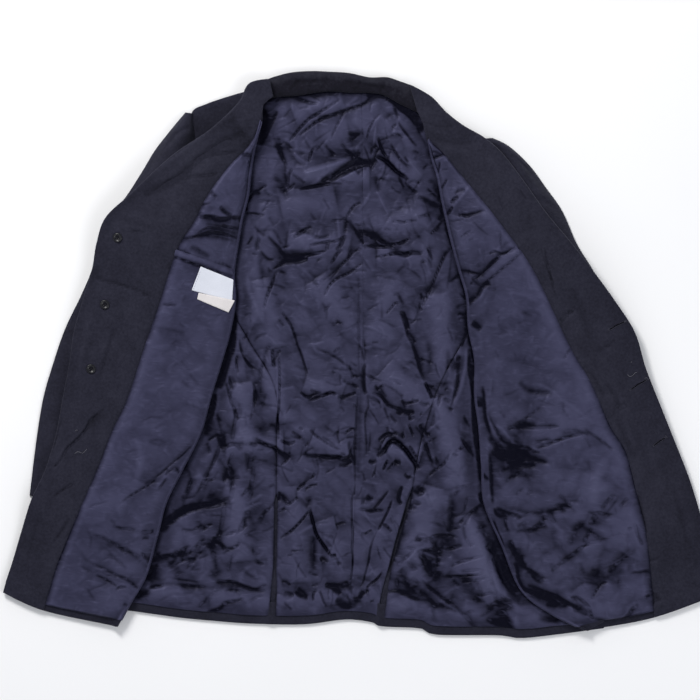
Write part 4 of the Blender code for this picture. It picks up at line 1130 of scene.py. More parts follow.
# ---------------------------------------------------------------- collar
def collar(material):
    """The stand, the ridge along the crease and the fall under them."""
    rows = steps(210, MIDDLE)
    t = np.linspace(0, len(COLLAR) - 1, rows + 1)
    crease = smooth([rib.crease for rib in COLLAR], t)
    seam = smooth([rib.seam for rib in COLLAR], t)
    width = np.linalg.norm(crease - seam, axis=1)
    along = (crease - seam) / width[:, None]
    radius = (STAND_HIGH + COLLAR_CLOTH) / 2
    turn = width - radius
    low, high = STAND_LOW + COLLAR_CLOTH, STAND_HIGH + COLLAR_CLOTH
    stand_columns = 12
    columns = []
    for u in np.linspace(0, 1, stand_columns + 1)[:-1]:
        columns.append((turn * u, low + (high - low) * math.sin(math.pi / 2 * u) + 0 * turn, 1))
    for a in np.linspace(0.5, -0.5, 13) * math.pi:
        columns.append((turn + radius * math.cos(a), radius * (1 + math.sin(a)) + 0 * turn,
                        max(math.sin(a), 0)))
    for u in np.linspace(1, 0, 9)[1:]:
        columns.append((turn * u - FALL_PAST_SEAM * (1 - u), 0 * turn, 0))
    grid = []
    for s, z, shown in columns:
        place = seam + along * s[:, None]
        bump = relief(COLLAR_CREASES, *place.T) + 0.4 * noise(*place.T, 14, 9)
        grid.append(np.column_stack((place, z + bump * shown)))
    grid = np.stack(grid, 1)
    # Painted shade over the whole collar, darker in its hollows and lighter on its bumps, with a
    # painted highlight along the ridge at the crease.
    shade = fold_shade(np.where(grid[..., 2] > 6, grid[..., 2], 6), MIDDLE, 0.8)
    shade = np.tanh(shade + COLLAR_DARK - COLLAR_RIDGE_HIGHLIGHT * np.exp(
        -((np.arange(grid.shape[1]) - stand_columns) / 2.5) ** 2))
    item = shell("collar_wool", grid, 2.4, -1, material, shade)
    return finish(item, "wool", "collar")


# ---------------------------------------------------------------- crease tables
# Broad soft ridges of the back lining: start, end, height at the middle and half width
Fold = namedtuple("Fold", "start end height width")
BACK_FOLDS = (
    Fold((-100, 345), (-30, 372), 3.5, 16), Fold((-118, 300), (-20, 322), 4.0, 20),
    Fold((-112, 262), (10, 262), 6.0, 20), Fold((20, 292), (80, 250), 5.0, 20),
    Fold((-120, 215), (-40, 232), 4.0, 20), Fold((-110, 168), (-20, 152), 6.0, 20),
    Fold((15, 180), (95, 205), 5.0, 20), Fold((20, 150), (95, 148), 4.5, 18),
    Fold((-150, 110), (-128, 10), 5.0, 18), Fold((-70, 110), (-20, 40), 4.0, 20),
    Fold((40, 110), (20, 10), 3.5, 20), Fold((110, 90), (118, -40), 5.0, 18),
    Fold((-178, -40), (-170, -130), 6.0, 18), Fold((-140, 10), (-118, -100), 5.0, 16),
    Fold((-85, -40), (-30, -58), 4.0, 16), Fold((30, -20), (95, -78), 5.0, 20),
    Fold((-200, -133), (-115, -130), 8.0, 16), Fold((-75, -122), (-20, -142), 5.0, 16),
    Fold((28, -128), (82, -150), 9.0, 18), Fold((110, -60), (140, -190), 7.0, 18),
    Fold((-190, -180), (-180, -300), 6.0, 20), Fold((-100, -190), (-92, -330), 5.0, 18),
    Fold((-60, -240), (-30, -330), 5.0, 18), Fold((0, -210), (-8, -320), 4.0, 16),
    Fold((100, -190), (60, -330), 7.0, 22), Fold((150, -230), (190, -360), 7.0, 22),
    Fold((110, -300), (220, -330), 5.0, 20),
)

# Each row: height (below 0 for a trough), half width, then x, y of the points it follows
BACK_CREASES = from_table((
    # neck and upper back
    (-7, 6, -146, 356, -140, 338, -146, 318, -150, 305),
    (-5, 3, -124, 354, -131, 340, -140, 322, -143, 314),
    (-4, 2.5, -128, 366, -116, 375, -104, 375, -90, 370, -78, 366, -66, 363),
    (-3, 2.5, -95, 381, -82, 380, -72, 376, -61, 370),
    (-4.5, 2.6, -107, 310, -96, 324, -80, 341, -66, 350, -50, 360, -34, 370),
    (-4, 2.4, -92, 318, -80, 328, -60, 343, -45, 348, -20, 357, 0, 364, 10, 372, 18, 378),
    (-2.5, 1.8, -26, 352, -34, 340, -40, 328, -46, 315),
    (-1.8, 3, -22, 321, -12, 321, -3, 318),
    (-2.5, 2, 16, 340, 9, 327, 5, 312),
    (-3, 1.8, -32, 306, -22, 296, -12, 286),
    (-3, 2, -55, 304, -48, 297, -40, 290),
    (-3, 1.8, -118, 308, -110, 306, -104, 300, -98, 293),
    (1.5, 2, -104, 300, -95, 288, -80, 277),
    (-3, 3.5, -130, 305, -124, 300, -118, 288, -110, 274),
    (-2.2, 1.8, -72, 300, -76, 290, -79, 280),
    (-1.6, 1.8, -79, 280, -75, 295, -69, 302, -61, 299, -55, 289),
    (-2, 4, -96, 298, -90, 293, -86, 290),
    (-7, 7, -60, 252, -45, 258, -30, 267, -12, 276, 0, 280),
    (-4, 2.2, -92, 240, -75, 244, -55, 247, -30, 249),
    (4, 5, -85, 262, -60, 270, -38, 277, -15, 285),
    (-2, 1.5, -34, 255, -25, 251, -12, 250),
    (-2.5, 2, -12, 272, -8, 265, -4, 261),
    (-4, 2.5, -103, 270, -108, 260, -109, 248, -108, 243),
    (-3, 2, -104, 263, -92, 255, -84, 249),
    (-2.5, 2, -115, 236, -107, 241, -98, 250),
    (-3.5, 2.5, -168, 222, -160, 235, -150, 240, -139, 247),
    (-4, 2.5, -168, 226, -158, 234, -148, 234),
    (-2, 1.6, -144, 239, -137, 233, -132, 231),
    (-4, 2, -170, 206, -156, 205, -143, 202),
    (-1.8, 2.5, -137, 224, -141, 214, -147, 208),
    (-3, 2.5, -3, 221, -12, 217, -19, 208, -25, 198),
    (-2, 6, -130, 262, -120, 245, -108, 225),
    (-7, 5, 5, 377, 25, 378, 42, 371, 58, 357, 72, 346, 80, 335, 86, 322),
    (-4, 2.2, 22, 316, 25, 304, 31, 292, 38, 285),
    (-3.5, 2, 21, 302, 14, 300, 12, 291),
    (-6, 3.2, 16, 288, 30, 283, 40, 274, 50, 265, 60, 259, 66, 253),
    (-6, 5, -14, 278, 0, 279, 12, 279, 20, 284),
    (-2.5, 1.5, 12, 268, 15, 275, 20, 281),
    (-3.5, 2, 51, 338, 58, 327, 66, 317, 72, 309, 78, 303),
    (-3.5, 2.2, 40, 306, 46, 296, 53, 285, 60, 278, 67, 272),
    (-2.5, 2.2, 41, 328, 45, 332, 50, 335),
    (-1.8, 5, 30, 342, 38, 347, 47, 352),
    (-2.5, 3, 44, 362, 48, 352, 52, 343),
    (-2, 1.5, 60, 288, 63, 283, 67, 279),
    (-1.8, 1.8, 72, 297, 77, 295, 81, 293),
    (-2, 1.6, 95, 278, 91, 274, 87, 269),
    (1.5, 1.3, 66, 282, 75, 272, 86, 260),
    (-2, 6, 97, 256, 103, 246, 108, 235),
    (-2, 1.6, 65, 249, 73, 252, 81, 250, 83, 246),
    (-3, 2.2, 60, 251, 66, 245, 72, 240, 79, 235),
    (-2.2, 1.8, 51, 259, 55, 251, 60, 242),
    (-4, 4.5, 80, 229, 90, 225, 100, 220, 110, 214),
    (-2.5, 1.8, 93, 242, 99, 236, 107, 229),
    (-4, 3, 111, 230, 115, 224, 121, 220),
    (-2, 3, 80, 199, 90, 203, 98, 205),
    (1.4, 1.6, 20, 238, 28, 221, 37, 203),
    (-1.5, 5, 17, 262, 20, 250, 24, 236),
    # middle, right of the centre
    (-4, 2, -168, 224, -170, 215, -169, 209),
    (-2, 1.6, -158, 187, -150, 178, -141, 171),
    (-3, 1.5, -160, 173, -164, 166, -168, 160),
    (-3, 4, -150, 170, -154, 160, -152, 151),
    (-4, 1.8, -149, 151, -143, 144, -137, 139, -129, 138),
    (-2, 1.3, -161, 148, -154, 144),
    (-5, 2.2, -138, 172, -130, 164, -123, 157, -117, 148, -112, 143),
    (-2, 1.4, -131, 182, -125, 174, -121, 166, -118, 159),
    (-5, 2.4, -114, 143, -100, 143, -84, 144, -68, 147, -54, 151),
    (-6, 5, -120, 132, -108, 137, -95, 137, -80, 141),
    (-4, 2, -131, 124, -122, 129, -113, 134),
    (-2, 1.5, -138, 127, -135, 122, -131, 119),
    (-2.5, 1.6, -124, 122, -117, 120, -111, 116),
    (-4, 2, -124, 122, -128, 116, -132, 103, -137, 90, -141, 78, -143, 68),
    (-3.5, 3, -101, 171, -95, 174, -87, 180, -75, 186),
    (-3, 3, -74, 173, -62, 170, -48, 173),
    (-4, 2.5, -79, 158, -68, 161, -58, 163, -46, 166),
    (-3.5, 3, -50, 163, -52, 157, -52, 152),
    (-2, 1.5, -68, 136, -62, 139, -56, 141),
    (-2.2, 1.6, -56, 62, -52, 68, -46, 74),
    (-1, 1.5, -80, 121, -70, 109, -65, 98, -60, 82),
    (-3.5, 1.8, -118, 62, -112, 54, -105, 44, -99, 28, -95, 15),
    (-1.8, 1.4, -123, 52, -118, 46, -114, 41),
    (-3, 2, -167, 33, -170, 27, -175, 22),
    (-1.5, 1.3, -172, 57, -167, 59, -161, 60),
    (1.5, 4, -168, 120, -166, 95, -160, 80, -152, 60, -145, 45),
    (-1.5, 5, -150, 150, -148, 130, -145, 110, -143, 90),
    (-8, 6, -187, 62, -189, 40, -190, 20, -193, 0),
    # middle, round the centre
    (-2.5, 2, -25, 199, -33, 196, -47, 195),
    (-2.5, 4, -24, 199, -25, 187, -26, 176),
    (-5, 3.5, -26, 174, -30, 165, -33, 158, -39, 152),
    (-4.5, 2.5, -30, 152, -37, 147, -42, 139, -46, 133),
    (-4, 2, -60, 163, -48, 164, -37, 166, -28, 172),
    (-2.5, 1.8, -20, 197, -13, 184, -6, 171, 0, 160),
    (-4, 2, -8, 178, -3, 170, 1, 161),
    (-1.6, 1.8, -12, 190, -5, 188, 3, 190),
    (-5.5, 3.2, -8, 178, 4, 177, 14, 174, 24, 170),
    (-5, 3, 10, 170, 22, 168, 31, 163, 38, 160),
    (-5.5, 2.4, 1, 156, 14, 158, 28, 157, 44, 157),
    (-3.5, 1.8, 36, 161, 47, 161, 58, 164, 69, 170),
    (-5.5, 4, 38, 147, 50, 149, 60, 145, 72, 149, 86, 147),
    (-3, 1.6, 18, 142, 30, 144, 42, 147),
    (-3, 1.7, 93, 155, 97, 148, 101, 136),
    (-2, 3, 84, 137, 88, 135, 93, 136),
    (-4, 2.2, 42, 193, 50, 194, 57, 192, 66, 194, 79, 195),
    (-2, 2, 82, 200, 90, 202, 97, 204),
    (-4, 2, 98, 175, 104, 181, 110, 188, 117, 198),
    (1.2, 1.5, 93, 185, 99, 192, 105, 199),
    (-4.5, 2, 128, 154, 120, 148, 113, 132, 105, 113, 98, 97, 91, 82, 86, 70),
    (-2, 1.3, 83, 90, 85, 85, 86, 80),
    (-4, 2, 84, 76, 82, 70, 86, 64),
    (-2, 1.5, 81, 66, 78, 55, 73, 48, 67, 46),
    (-3.5, 2, 34, 60, 41, 68, 47, 75, 53, 75),
    (-2.5, 2.5, 44, 86, 50, 88, 55, 80, 59, 73),
    (-4, 2, 54, 65, 58, 53, 62, 41, 65, 28, 71, 18),
    (-4, 2.2, 58, 63, 63, 50, 67, 37),
    (-3, 2, 66, 32, 72, 25, 76, 17),
    (-3, 1.6, -58, 108, -47, 116, -36, 127, -24, 138, -14, 149, -4, 155),
    (-2, 1.3, -50, 107, -40, 118, -30, 130, -22, 138),
    (-4.5, 2, 0, 134, -12, 125, -22, 118, -34, 113, -44, 106, -51, 97, -56, 85),
    (-2, 1.6, -45, 46, -41, 44, -37, 48, -41, 53),
    (-1.8, 1.4, -37, 50, -32, 46, -28, 44),
    (-1.6, 2, -32, 84, -25, 83, -20, 85),
    # middle, left side
    (-4, 2.5, 145, 239, 136, 235, 131, 226, 128, 219),
    (-5, 3, 130, 216, 122, 207, 112, 195),
    (-3, 1.8, 120, 192, 122, 180, 126, 168, 128, 158),
    (-4, 2, 128, 158, 133, 150, 137, 138, 140, 128, 142, 119),
    (-4, 2, 127, 155, 121, 148, 116, 138, 110, 124),
    (-3, 1.6, 141, 119, 143, 108, 147, 95, 150, 84),
    (-2, 1.3, 140, 90, 145, 85, 149, 81),
    (-4, 2.2, 125, 105, 131, 110, 137, 114, 141, 115),
    (-1.5, 1.2, 128, 150, 127, 130, 124, 108, 122, 95),
    (-3, 1.8, 137, 58, 141, 60, 147, 58, 153, 58),
    (-2.5, 2, 138, 52, 143, 54, 150, 54),
    (-3.5, 2.5, 154, 38, 150, 30, 146, 22, 144, 12),
    (-1.5, 3, 135, 68, 141, 72, 148, 72),
    (-5, 3, 110, 245, 114, 240, 113, 232, 112, 228, 117, 222, 120, 222),
    (-5, 3, 113, 217, 116, 210, 117, 203, 120, 200),
    (-5, 3, 110, 195, 115, 203, 120, 207),
    (-2.5, 2, 113, 244, 118, 252, 123, 256),
    (-6, 3, 152, 66, 154, 55, 156, 45, 155, 35, 156, 22, 157, 12),
    # waist, right
    (-8, 6, -191, 25, -194, 5, -200, -15, -205, -35, -210, -48),
    (-6, 3.5, -214, -56, -216, -70, -219, -84, -223, -95),
    (-3, 6, -222, -90, -225, -105, -227, -118),
    (-4, 2, -179, 22, -178, 12, -174, 0, -169, -9, -164, -16, -158, -20),
    (-3, 1.5, -182, 0, -184, -8, -183, -18, -181, -28),
    (-4, 1.8, -194, -30, -193, -40, -190, -50),
    (-4.5, 1.8, -199, -40, -196, -50, -193, -60, -191, -68, -187, -78, -185, -90, -183, -96),
    (-4, 2, -186, -78, -184, -86, -182, -94),
    (-4, 2.2, -182, -85, -186, -95, -188, -110, -189, -126),
    (-3, 1.5, -180, -70, -178, -82, -176, -90),
    (-2, 4, -135, 18, -140, 5, -143, -10, -148, -25, -150, -45, -152, -65),
    (-5, 2.2, -159, -38, -157, -50, -157, -62, -158, -76),
    (-2, 1.6, -158, -76, -161, -86, -164, -95),
    (-2, 1.3, -157, -40, -153, -43),
    (-5, 2.5, -131, 8, -131, -2, -130, -12, -129, -18),
    (-3, 2, -129, -8, -124, 0, -120, 8),
    (-3, 1.3, -122, -4, -121, -20, -121, -40, -121, -60, -122, -80, -124, -92, -123, -110,
     -122, -125),
    (1.2, 1.2, -125, -4, -124, -20, -124, -40, -124, -60, -125, -80, -127, -92),
    (-3.5, 1.8, -97, 18, -91, 5, -86, -10, -81, -28),
    (-1.2, 1.2, -68, 10, -58, 5, -50, 1),
    (-4, 2.5, -91, -53, -85, -59, -78, -61, -70, -57, -60, -54),
    (-3.5, 1.5, -77, -51, -70, -53, -64, -55),
    (-2.5, 2, -80, -66, -70, -64, -60, -60, -50, -57),
    (-3, 2, -103, -111, -97, -115, -88, -120),
    (-2, 1.5, -93, -105, -87, -109),
    (-3.5, 1.8, -77, -108, -70, -116, -60, -123, -50, -130, -40, -135, -32, -138),
    (-2.5, 1.5, -60, -119, -50, -125, -40, -132),
    (-6, 3.2, -211, -132, -200, -133, -190, -129, -180, -129, -172, -127),
    (-4, 2, -184, -130, -179, -136, -175, -139),
    (-4, 1.8, -164, -127, -158, -131, -154, -134),
    (-6, 3, -160, -120, -152, -124, -145, -128, -137, -131, -128, -134, -120, -141, -110, -145,
     -105, -141),
    (-5, 2.5, -120, -124, -113, -127, -106, -129, -98, -125),
    (-4, 1.8, -106, -147, -112, -154, -119, -160),
    (-7, 3, -86, -143, -78, -146, -65, -147, -45, -148, -35, -148, -28, -151, -20, -148, -16, -144),
    (-5, 2.2, -225, -124, -218, -120, -211, -117, -209, -125, -206, -130),
    (-2, 1.8, -212, -85, -209, -97, -206, -110, -206, -120),
    (-1.8, 1.3, -213, -82, -209, -92, -204, -97),
    (-3, 1.8, -226, -127, -224, -135, -221, -144),
    (-5, 3, -209, -135, -213, -145, -219, -158, -224, -168, -231, -178),
    (-4.5, 1.8, -189, -142, -193, -150, -195, -156, -192, -165, -190, -178),
    (-4, 1.8, -196, -163, -200, -172, -201, -185),
    (-3, 2, -156, -147, -160, -154),
    (-1.2, 1.3, -155, -152, -145, -153, -138, -154),
    (-2, 3, -170, -140, -168, -155, -168, -170),
    (-3, 3, -160, -162, -160, -175),
    (-2.5, 1.5, -78, -125, -84, -133),
    (-3, 2, -70, -172, -74, -178),
    # waist, round the centre pleat
    (-1.2, 1.3, -6, 125, -6, 90, -6, 58, -6, 25, -6, 0, -6, -20, -5, -32),
    (-1.5, 1.5, 2, 25, 3, 5, 4, -8),
    (-6, 3, 3, -12, 1, -22, 1, -28, 1, -40, 2, -50, 5, -57),
    (-2.2, 1.6, -7, -55, -9, -75, -10, -100, -12, -130, -13, -150, -12, -165, -11, -185),
    (-1.8, 1.6, 5, -57, 8, -68, 7, -78, 4, -85, 3, -100, 4, -115, 5, -130, 5, -145),
    (-1.5, 1.3, 10, -112, 10, -125, 9, -140),
    (-1.2, 6, -3, -60, -4, -90, -5, -120, -6, -150, -7, -185),
    (-2, 1.5, -60, 6, -48, 1, -35, -7, -22, -17, -8, -25),
    (-3, 2, -17, -33, -11, -30, -6, -33),
    (-2, 1.5, -30, -37, -20, -42, -8, -47),
    (-2.5, 1.4, -17, -41, -11, -44, -6, -47),
    (-4.5, 2.5, -60, -60, -52, -56, -45, -55, -38, -58),
    (-5, 2.2, -37, -61, -28, -61, -20, -58, -10, -55),
    (-1.5, 2, -46, -23, -40, -27),
    (-1.5, 2, -15, -73, -9, -73),
    (-4, 2.2, -27, -115, -20, -109, -15, -107, -10, -108),
    (-4, 3, -35, -160, -27, -160, -20, -157, -16, -154),
    (-2, 1.5, -55, -171, -48, -168, -40, -163),
    (-2.5, 1.5, -20, -125, -20, -135, -16, -147, -14, -153),
    (-2, 1.5, -33, -143, -25, -145),
    # waist, left
    (-3, 1.6, 67, 25, 73, 10, 77, -3, 81, -17, 86, -31, 90, -39),
    (-6, 2.4, 90, -39, 93, -47, 97, -55, 100, -63),
    (-2, 1.3, 83, -4, 90, -8, 103, -12),
    (-2.5, 1.3, 95, -44, 100, -46, 103, -45),
    (-4, 2.5, 17, -44, 22, -49, 26, -46, 30, -44),
    (-2, 1.3, 30, -43, 40, -48, 48, -53, 55, -58, 60, -59),
    (-1.5, 1.3, 8, -29, 15, -34, 27, -38),
    (-3.5, 1.8, 13, -54, 22, -58, 28, -62, 33, -69, 38, -74, 48, -77, 58, -79),
    (-2, 1.3, 30, -76, 32, -80, 35, -88, 40, -98),
    (-2, 1.3, 38, -85, 44, -93, 49, -98),
    (-4, 2.5, 55, -66, 62, -70, 70, -69, 78, -67, 81, -66),
    (-2, 1.3, 70, -64, 75, -66),
    (-7, 3, 48, -82, 56, -84, 66, -84, 75, -83),
    (-3, 4, 82, -68, 90, -72, 97, -70),
    (-3, 2.2, 68, -85, 68, -93, 75, -90),
    (-2.5, 1.5, 83, -88, 86, -83),
    (-5, 1.8, 81, -102, 86, -108, 92, -114, 97, -116),
    (-2.5, 1.4, 81, -103, 88, -100),
    (-3, 1.8, 66, -100, 69, -108, 73, -118),
    (-2.5, 1.4, 75, -103, 80, -108, 85, -114, 88, -122),
    (-5, 2, 88, -122, 93, -135, 97, -148, 102, -161),
    (-2.5, 1.5, 105, -147, 107, -153, 110, -158),
    (-2, 1.3, 103, -100, 108, -105, 112, -110),
    (-2, 1.2, 99, -104, 101, -100, 103, -88, 103, -80),
    (-5, 3, 22, -125, 30, -118, 38, -115, 50, -114),
    (-8, 4, 21, -147, 30, -140, 35, -132, 41, -125, 50, -128, 58, -134, 64, -141, 70, -149,
     76, -157, 81, -167),
    (-5, 2, 67, -132, 72, -139, 78, -149),
    (-3, 1.5, 57, -112, 59, -121),
    (-4.5, 3, 8, -153, 14, -156, 20, -153),
    (-4, 2.2, 36, -152, 32, -160, 29, -167),
    (-3, 1.6, 34, -169, 42, -159, 49, -152),
    (-4, 5, 45, -156, 55, -156),
    (-2.5, 1.6, 17, -168, 14, -177),
    (-3, 3, 60, -172, 66, -178, 70, -173),
    (-4, 2, 127, -138, 122, -150, 117, -158, 108, -165, 100, -171, 92, -180),
    (-6, 4, 130, -5, 132, -14, 134, -17, 137, -10, 139, 0),
    (-4, 3, 139, 0, 138, -30, 136, -48, 130, -68),
    (-3.5, 2.5, 117, -64, 121, -65, 127, -68),
    (-3, 2, 120, -74, 127, -78, 131, -79),
    (-2.5, 1.4, 118, -51, 123, -48),
    (-3, 2, 113, -58, 110, -66, 110, -75),
    (-1.5, 5, 92, 20, 98, 0, 97, -20, 95, -30),
    (-1.5, 4, 122, 10, 124, -10, 122, -30, 115, -48),
    (2, 3.5, 150, 10, 149, -10, 146, -30, 140, -55, 133, -72),
    (-6, 3, 153, 10, 154, -10, 155, -28, 158, -40, 160, -60, 160, -80, 161, -100, 163, -120,
     166, -140, 169, -165, 171, -185),
    (-7, 4, 158, 10, 163, -5, 168, -15, 168, -32, 166, -45, 165, -58),
    (-4.5, 1.8, 142, -119, 148, -130, 155, -139, 160, -147),
    (-4, 2.2, 134, -140, 139, -138, 146, -133),
    (-3.5, 2, 130, -142, 134, -146, 138, -146),
    (-3, 1.8, 146, -87, 149, -95, 155, -104),
    # skirt, right
    (-8, 5, -290, -258, -285, -247, -275, -238, -262, -229, -245, -222, -230, -218, -215, -216,
     -203, -212, -193, -208),
    (-6, 2.2, -191, -165, -190, -185, -190, -200, -193, -210),
    (-5, 3.5, -262, -212, -256, -200, -252, -190, -248, -178),
    (-4, 2.5, -244, -204, -235, -190, -228, -178, -224, -170),
    (-5, 2, -280, -303, -272, -296, -265, -288, -260, -282),
    (-6, 4, -305, -298, -295, -294, -283, -292, -275, -290, -268, -284),
    (-4, 3, -300, -288, -294, -288),
    (-5, 3, -310, -308, -303, -308, -298, -304),
    (-5, 3.5, -315, -322, -308, -316, -303, -310),
    (-4, 2, -310, -325, -304, -325),
    (-4, 2, -283, -308, -275, -297, -268, -288, -262, -282, -255, -279),
    (-4, 1.8, -280, -311, -270, -303, -262, -299, -250, -296, -245, -295),
    (-4, 1.8, -257, -312, -250, -303, -242, -293, -235, -284),
    (-4, 2, -258, -293, -248, -284, -240, -275, -233, -269, -228, -268),
    (-5, 2.5, -233, -277, -229, -274, -224, -277, -220, -282, -217, -290),
    (-4, 2.2, -236, -255, -230, -252, -224, -247, -218, -246),
    (-1.8, 1.2, -240, -240, -235, -246, -230, -251),
    (-4, 2.5, -200, -215, -203, -230, -206, -245, -208, -255, -212, -262),
    (-3.5, 1.8, -220, -265, -213, -266),
    (-4.5, 2.4, -215, -271, -208, -273, -202, -279, -203, -283),
    (-3.5, 3, -198, -262, -190, -258, -183, -256),
    (-4, 2, -184, -261, -175, -252, -168, -245),
    (-5, 3, -170, -226, -171, -235, -173, -242, -177, -250, -180, -256),
    (-5, 2.4, -179, -266, -181, -275, -188, -280, -196, -281),
    (-4, 1.6, -162, -180, -162, -200, -163, -208),
    (-3, 2.2, -157, -172, -161, -180, -163, -190),
    (-3, 2, -165, -225, -167, -238),
    (-3, 1.6, -185, -288, -190, -294, -193, -302, -195, -315),
    (-4, 1.8, -157, -298, -151, -302, -144, -304),
    (-2, 2, -162, -272, -160, -282, -156, -292),
    (-1.5, 1.2, -155, -239, -147, -234, -141, -226),
    (-3, 1.5, -272, -322, -268, -317, -263, -315),
    (-2, 1.4, -277, -324, -265, -326, -250, -328, -238, -331),
    (-3, 3, -263, -336, -255, -335, -245, -337, -232, -336),
    (-6, 3, -310, -337, -303, -337, -295, -335, -290, -336),
    (-5, 6, -330, -352, -320, -345, -310, -345),
    (-2, 7, -224, -315, -215, -318, -205, -310),
    (-7, 2.6, -212, -331, -208, -328, -203, -330, -195, -329, -185, -331, -175, -335, -165, -338,
     -155, -341, -142, -343),
    (-3, 3, -197, -341, -188, -342, -180, -343),
    (-5, 3, -225, -371, -215, -370, -207, -367, -200, -360, -190, -358, -180, -356, -173, -354),
    (-2, 1.3, -170, -361, -158, -353, -148, -350),
    (-3, 1.6, -239, -367, -235, -361, -230, -357, -226, -350),
    (-2, 1.6, -220, -345, -222, -355, -224, -368),
    (-2.5, 4, -217, -285, -215, -300, -213, -312),
    # skirt, between the vents
    (-6, 3, -121, -198, -122, -206, -124, -212),
    (-3, 1.4, -119, -202, -114, -210, -109, -218),
    (-2.5, 1.4, -117, -201, -111, -209, -105, -216),
    (-4, 2, -127, -213, -132, -219, -140, -227, -147, -233),
    (-3, 1.4, -109, -218, -103, -213, -95, -206),
    (-4, 1.8, -122, -226, -118, -225, -113, -222),
    (-1, 0.9, -115, -220, -105, -231, -96, -239),
    (-4.5, 2, -96, -196, -90, -190, -85, -186),
    (-4, 1.8, -85, -197, -78, -191, -72, -189, -66, -188),
    (-4.5, 1.8, -120, -266, -108, -258, -100, -251, -92, -243, -84, -234, -78, -226),
    (-5.5, 2.4, -77, -223, -75, -233, -72, -245, -69, -256, -64, -266, -57, -276, -50, -286,
     -46, -292),
    (-6, 3, -47, -292, -42, -291, -39, -290),
    (-2.5, 3, -38, -295, -35, -303, -33, -300),
    (-2.5, 6, -80, -205, -79, -215, -84, -222),
    (-2.5, 6, -73, -262, -72, -280, -73, -300, -72, -315),
    (-2.5, 1.4, -105, -284, -97, -284, -86, -283),
    (-2, 1.8, -97, -278, -88, -278),
    (-1.5, 1.3, -110, -291, -102, -291),
    (-2, 1.4, -80, -315, -72, -318, -65, -321),
    (-3, 4, -63, -297, -58, -296, -50, -300),
    (-3, 1.4, -40, -246, -32, -244, -25, -242),
    (-1.5, 1.3, -50, -264, -43, -264),
    (-4, 1.8, -6, -223, 2, -225, 12, -227, 20, -226, 30, -227),
    (-4, 2, 15, -224, 22, -216, 30, -206, 37, -197),
    (-3, 4, 5, -203, 10, -208, 15, -209),
    (-1.5, 3, -3, -214, 3, -214),
    (-3.5, 1.6, -3, -259, 3, -259, 13, -254),
    (-4, 1.6, 42, -210, 38, -222, 32, -235, 26, -247, 22, -254),
    (-2, 2, 20, -256, 14, -270, 10, -285, 8, -300, 4, -315, 0, -330, -4, -336),
    (-3.5, 1.6, 27, -246, 33, -247, 38, -252, 42, -257),
    (-2.5, 1.8, -11, -185, -13, -200, -16, -210, -16, -240, -15, -260, -16, -280, -15, -300,
     -17, -320, -19, -333),
    (-4, 2, -27, -330, -22, -331, -18, -334),
    (-6, 4, -55, -334, -47, -335, -42, -338, -38, -343, -32, -347),
    (-8, 6, -40, -355, -30, -360, -22, -362, -14, -360, -10, -352),
    (-6, 4, -11, -352, -6, -356, -4, -350, 0, -342),
    (-4, 2, 5, -338, 10, -333, 20, -325, 28, -315),
    (-3.5, 4, 4, -342, 8, -341),
    (-2, 1.4, 10, -358, 16, -356),
    (-5, 2, -95, -338, -90, -343, -85, -347, -81, -352),
    (-5.5, 2.2, -99, -343, -94, -349, -87, -352, -80, -355),
    (-3, 4, -115, -345, -105, -347, -100, -350),
    (-3.5, 1.6, -63, -342, -60, -350, -57, -358, -53, -365),
    (-4, 2, -67, -340, -72, -347, -72, -357),
    (-2.5, 1.6, -118, -328, -110, -330, -105, -335),
    (-2, 1.2, -115, -359, -108, -365, -103, -370),
    (-2, 1.3, -75, -335, -65, -333),
    # skirt, left
    (-6, 3, 57, -190, 53, -200, 52, -210, 56, -217),
    (-5, 6, 76, -193, 82, -199, 85, -204),
    (-5, 2.5, 73, -213, 80, -215, 83, -214),
    (-3, 1.5, 72, -216, 69, -222, 66, -230),
    (-2, 1.3, 73, -220, 76, -224),
    (-4, 3, 77, -262, 80, -267, 85, -268),
    (-3, 1.3, 67, -273, 75, -270, 85, -267, 95, -266, 105, -262, 115, -261, 127, -261),
    (-3.5, 1.6, 122, -260, 130, -262, 137, -265),
    (-2.5, 6, 128, -200, 129, -220, 127, -240, 126, -258),
    (-4, 2, 62, -280, 70, -281, 76, -281),
    (-5, 1.6, 76, -281, 68, -289, 60, -297, 50, -306),
    (-5, 2.2, 78, -286, 85, -284, 93, -283, 105, -282, 115, -282),
    (-5, 2, 120, -282, 128, -281, 136, -278, 144, -276),
    (-3, 1.5, 96, -267, 101, -272, 104, -280, 107, -290, 108, -305),
    (-5, 4, 82, -287, 88, -297, 93, -306, 97, -316),
    (-4, 5, 65, -300, 72, -306, 77, -313),
    (-4, 2, 50, -317, 56, -312, 61, -308),
    (-4, 1.4, 56, -315, 60, -326, 65, -338),
    (-3, 1.2, 60, -312, 64, -323, 69, -334),
    (-4, 1.4, 70, -324, 78, -329, 85, -335),
    (-5, 2.2, 80, -340, 87, -347, 95, -353, 102, -360, 106, -368),
    (-6, 2, 86, -327, 90, -334, 100, -340, 110, -348, 120, -356, 132, -364, 141, -372, 150, -380,
     158, -390, 165, -400),
    (-3, 1.4, 108, -354, 113, -361, 122, -366, 130, -369, 138, -375),
    (-3, 1.3, 103, -317, 109, -315, 117, -315),
    (-3, 1.3, 108, -319, 115, -320),
    (-2.5, 1.2, 102, -323, 108, -323),
    (-5, 1.5, 120, -321, 135, -321, 150, -320, 165, -319, 175, -315),
    (-3, 1.3, 142, -314, 155, -313, 165, -312, 178, -313),
    (-4, 1.6, 125, -309, 135, -303, 145, -299, 160, -295, 175, -291),
    (-5, 1.8, 170, -208, 172, -216, 163, -223, 153, -231, 145, -238, 135, -247),
    (-5, 2, 142, -242, 146, -243),
    (-3, 1.3, 165, -226, 156, -233, 149, -243, 146, -253, 148, -263, 152, -272, 155, -277),
    (-3, 1.3, 155, -278, 160, -274),
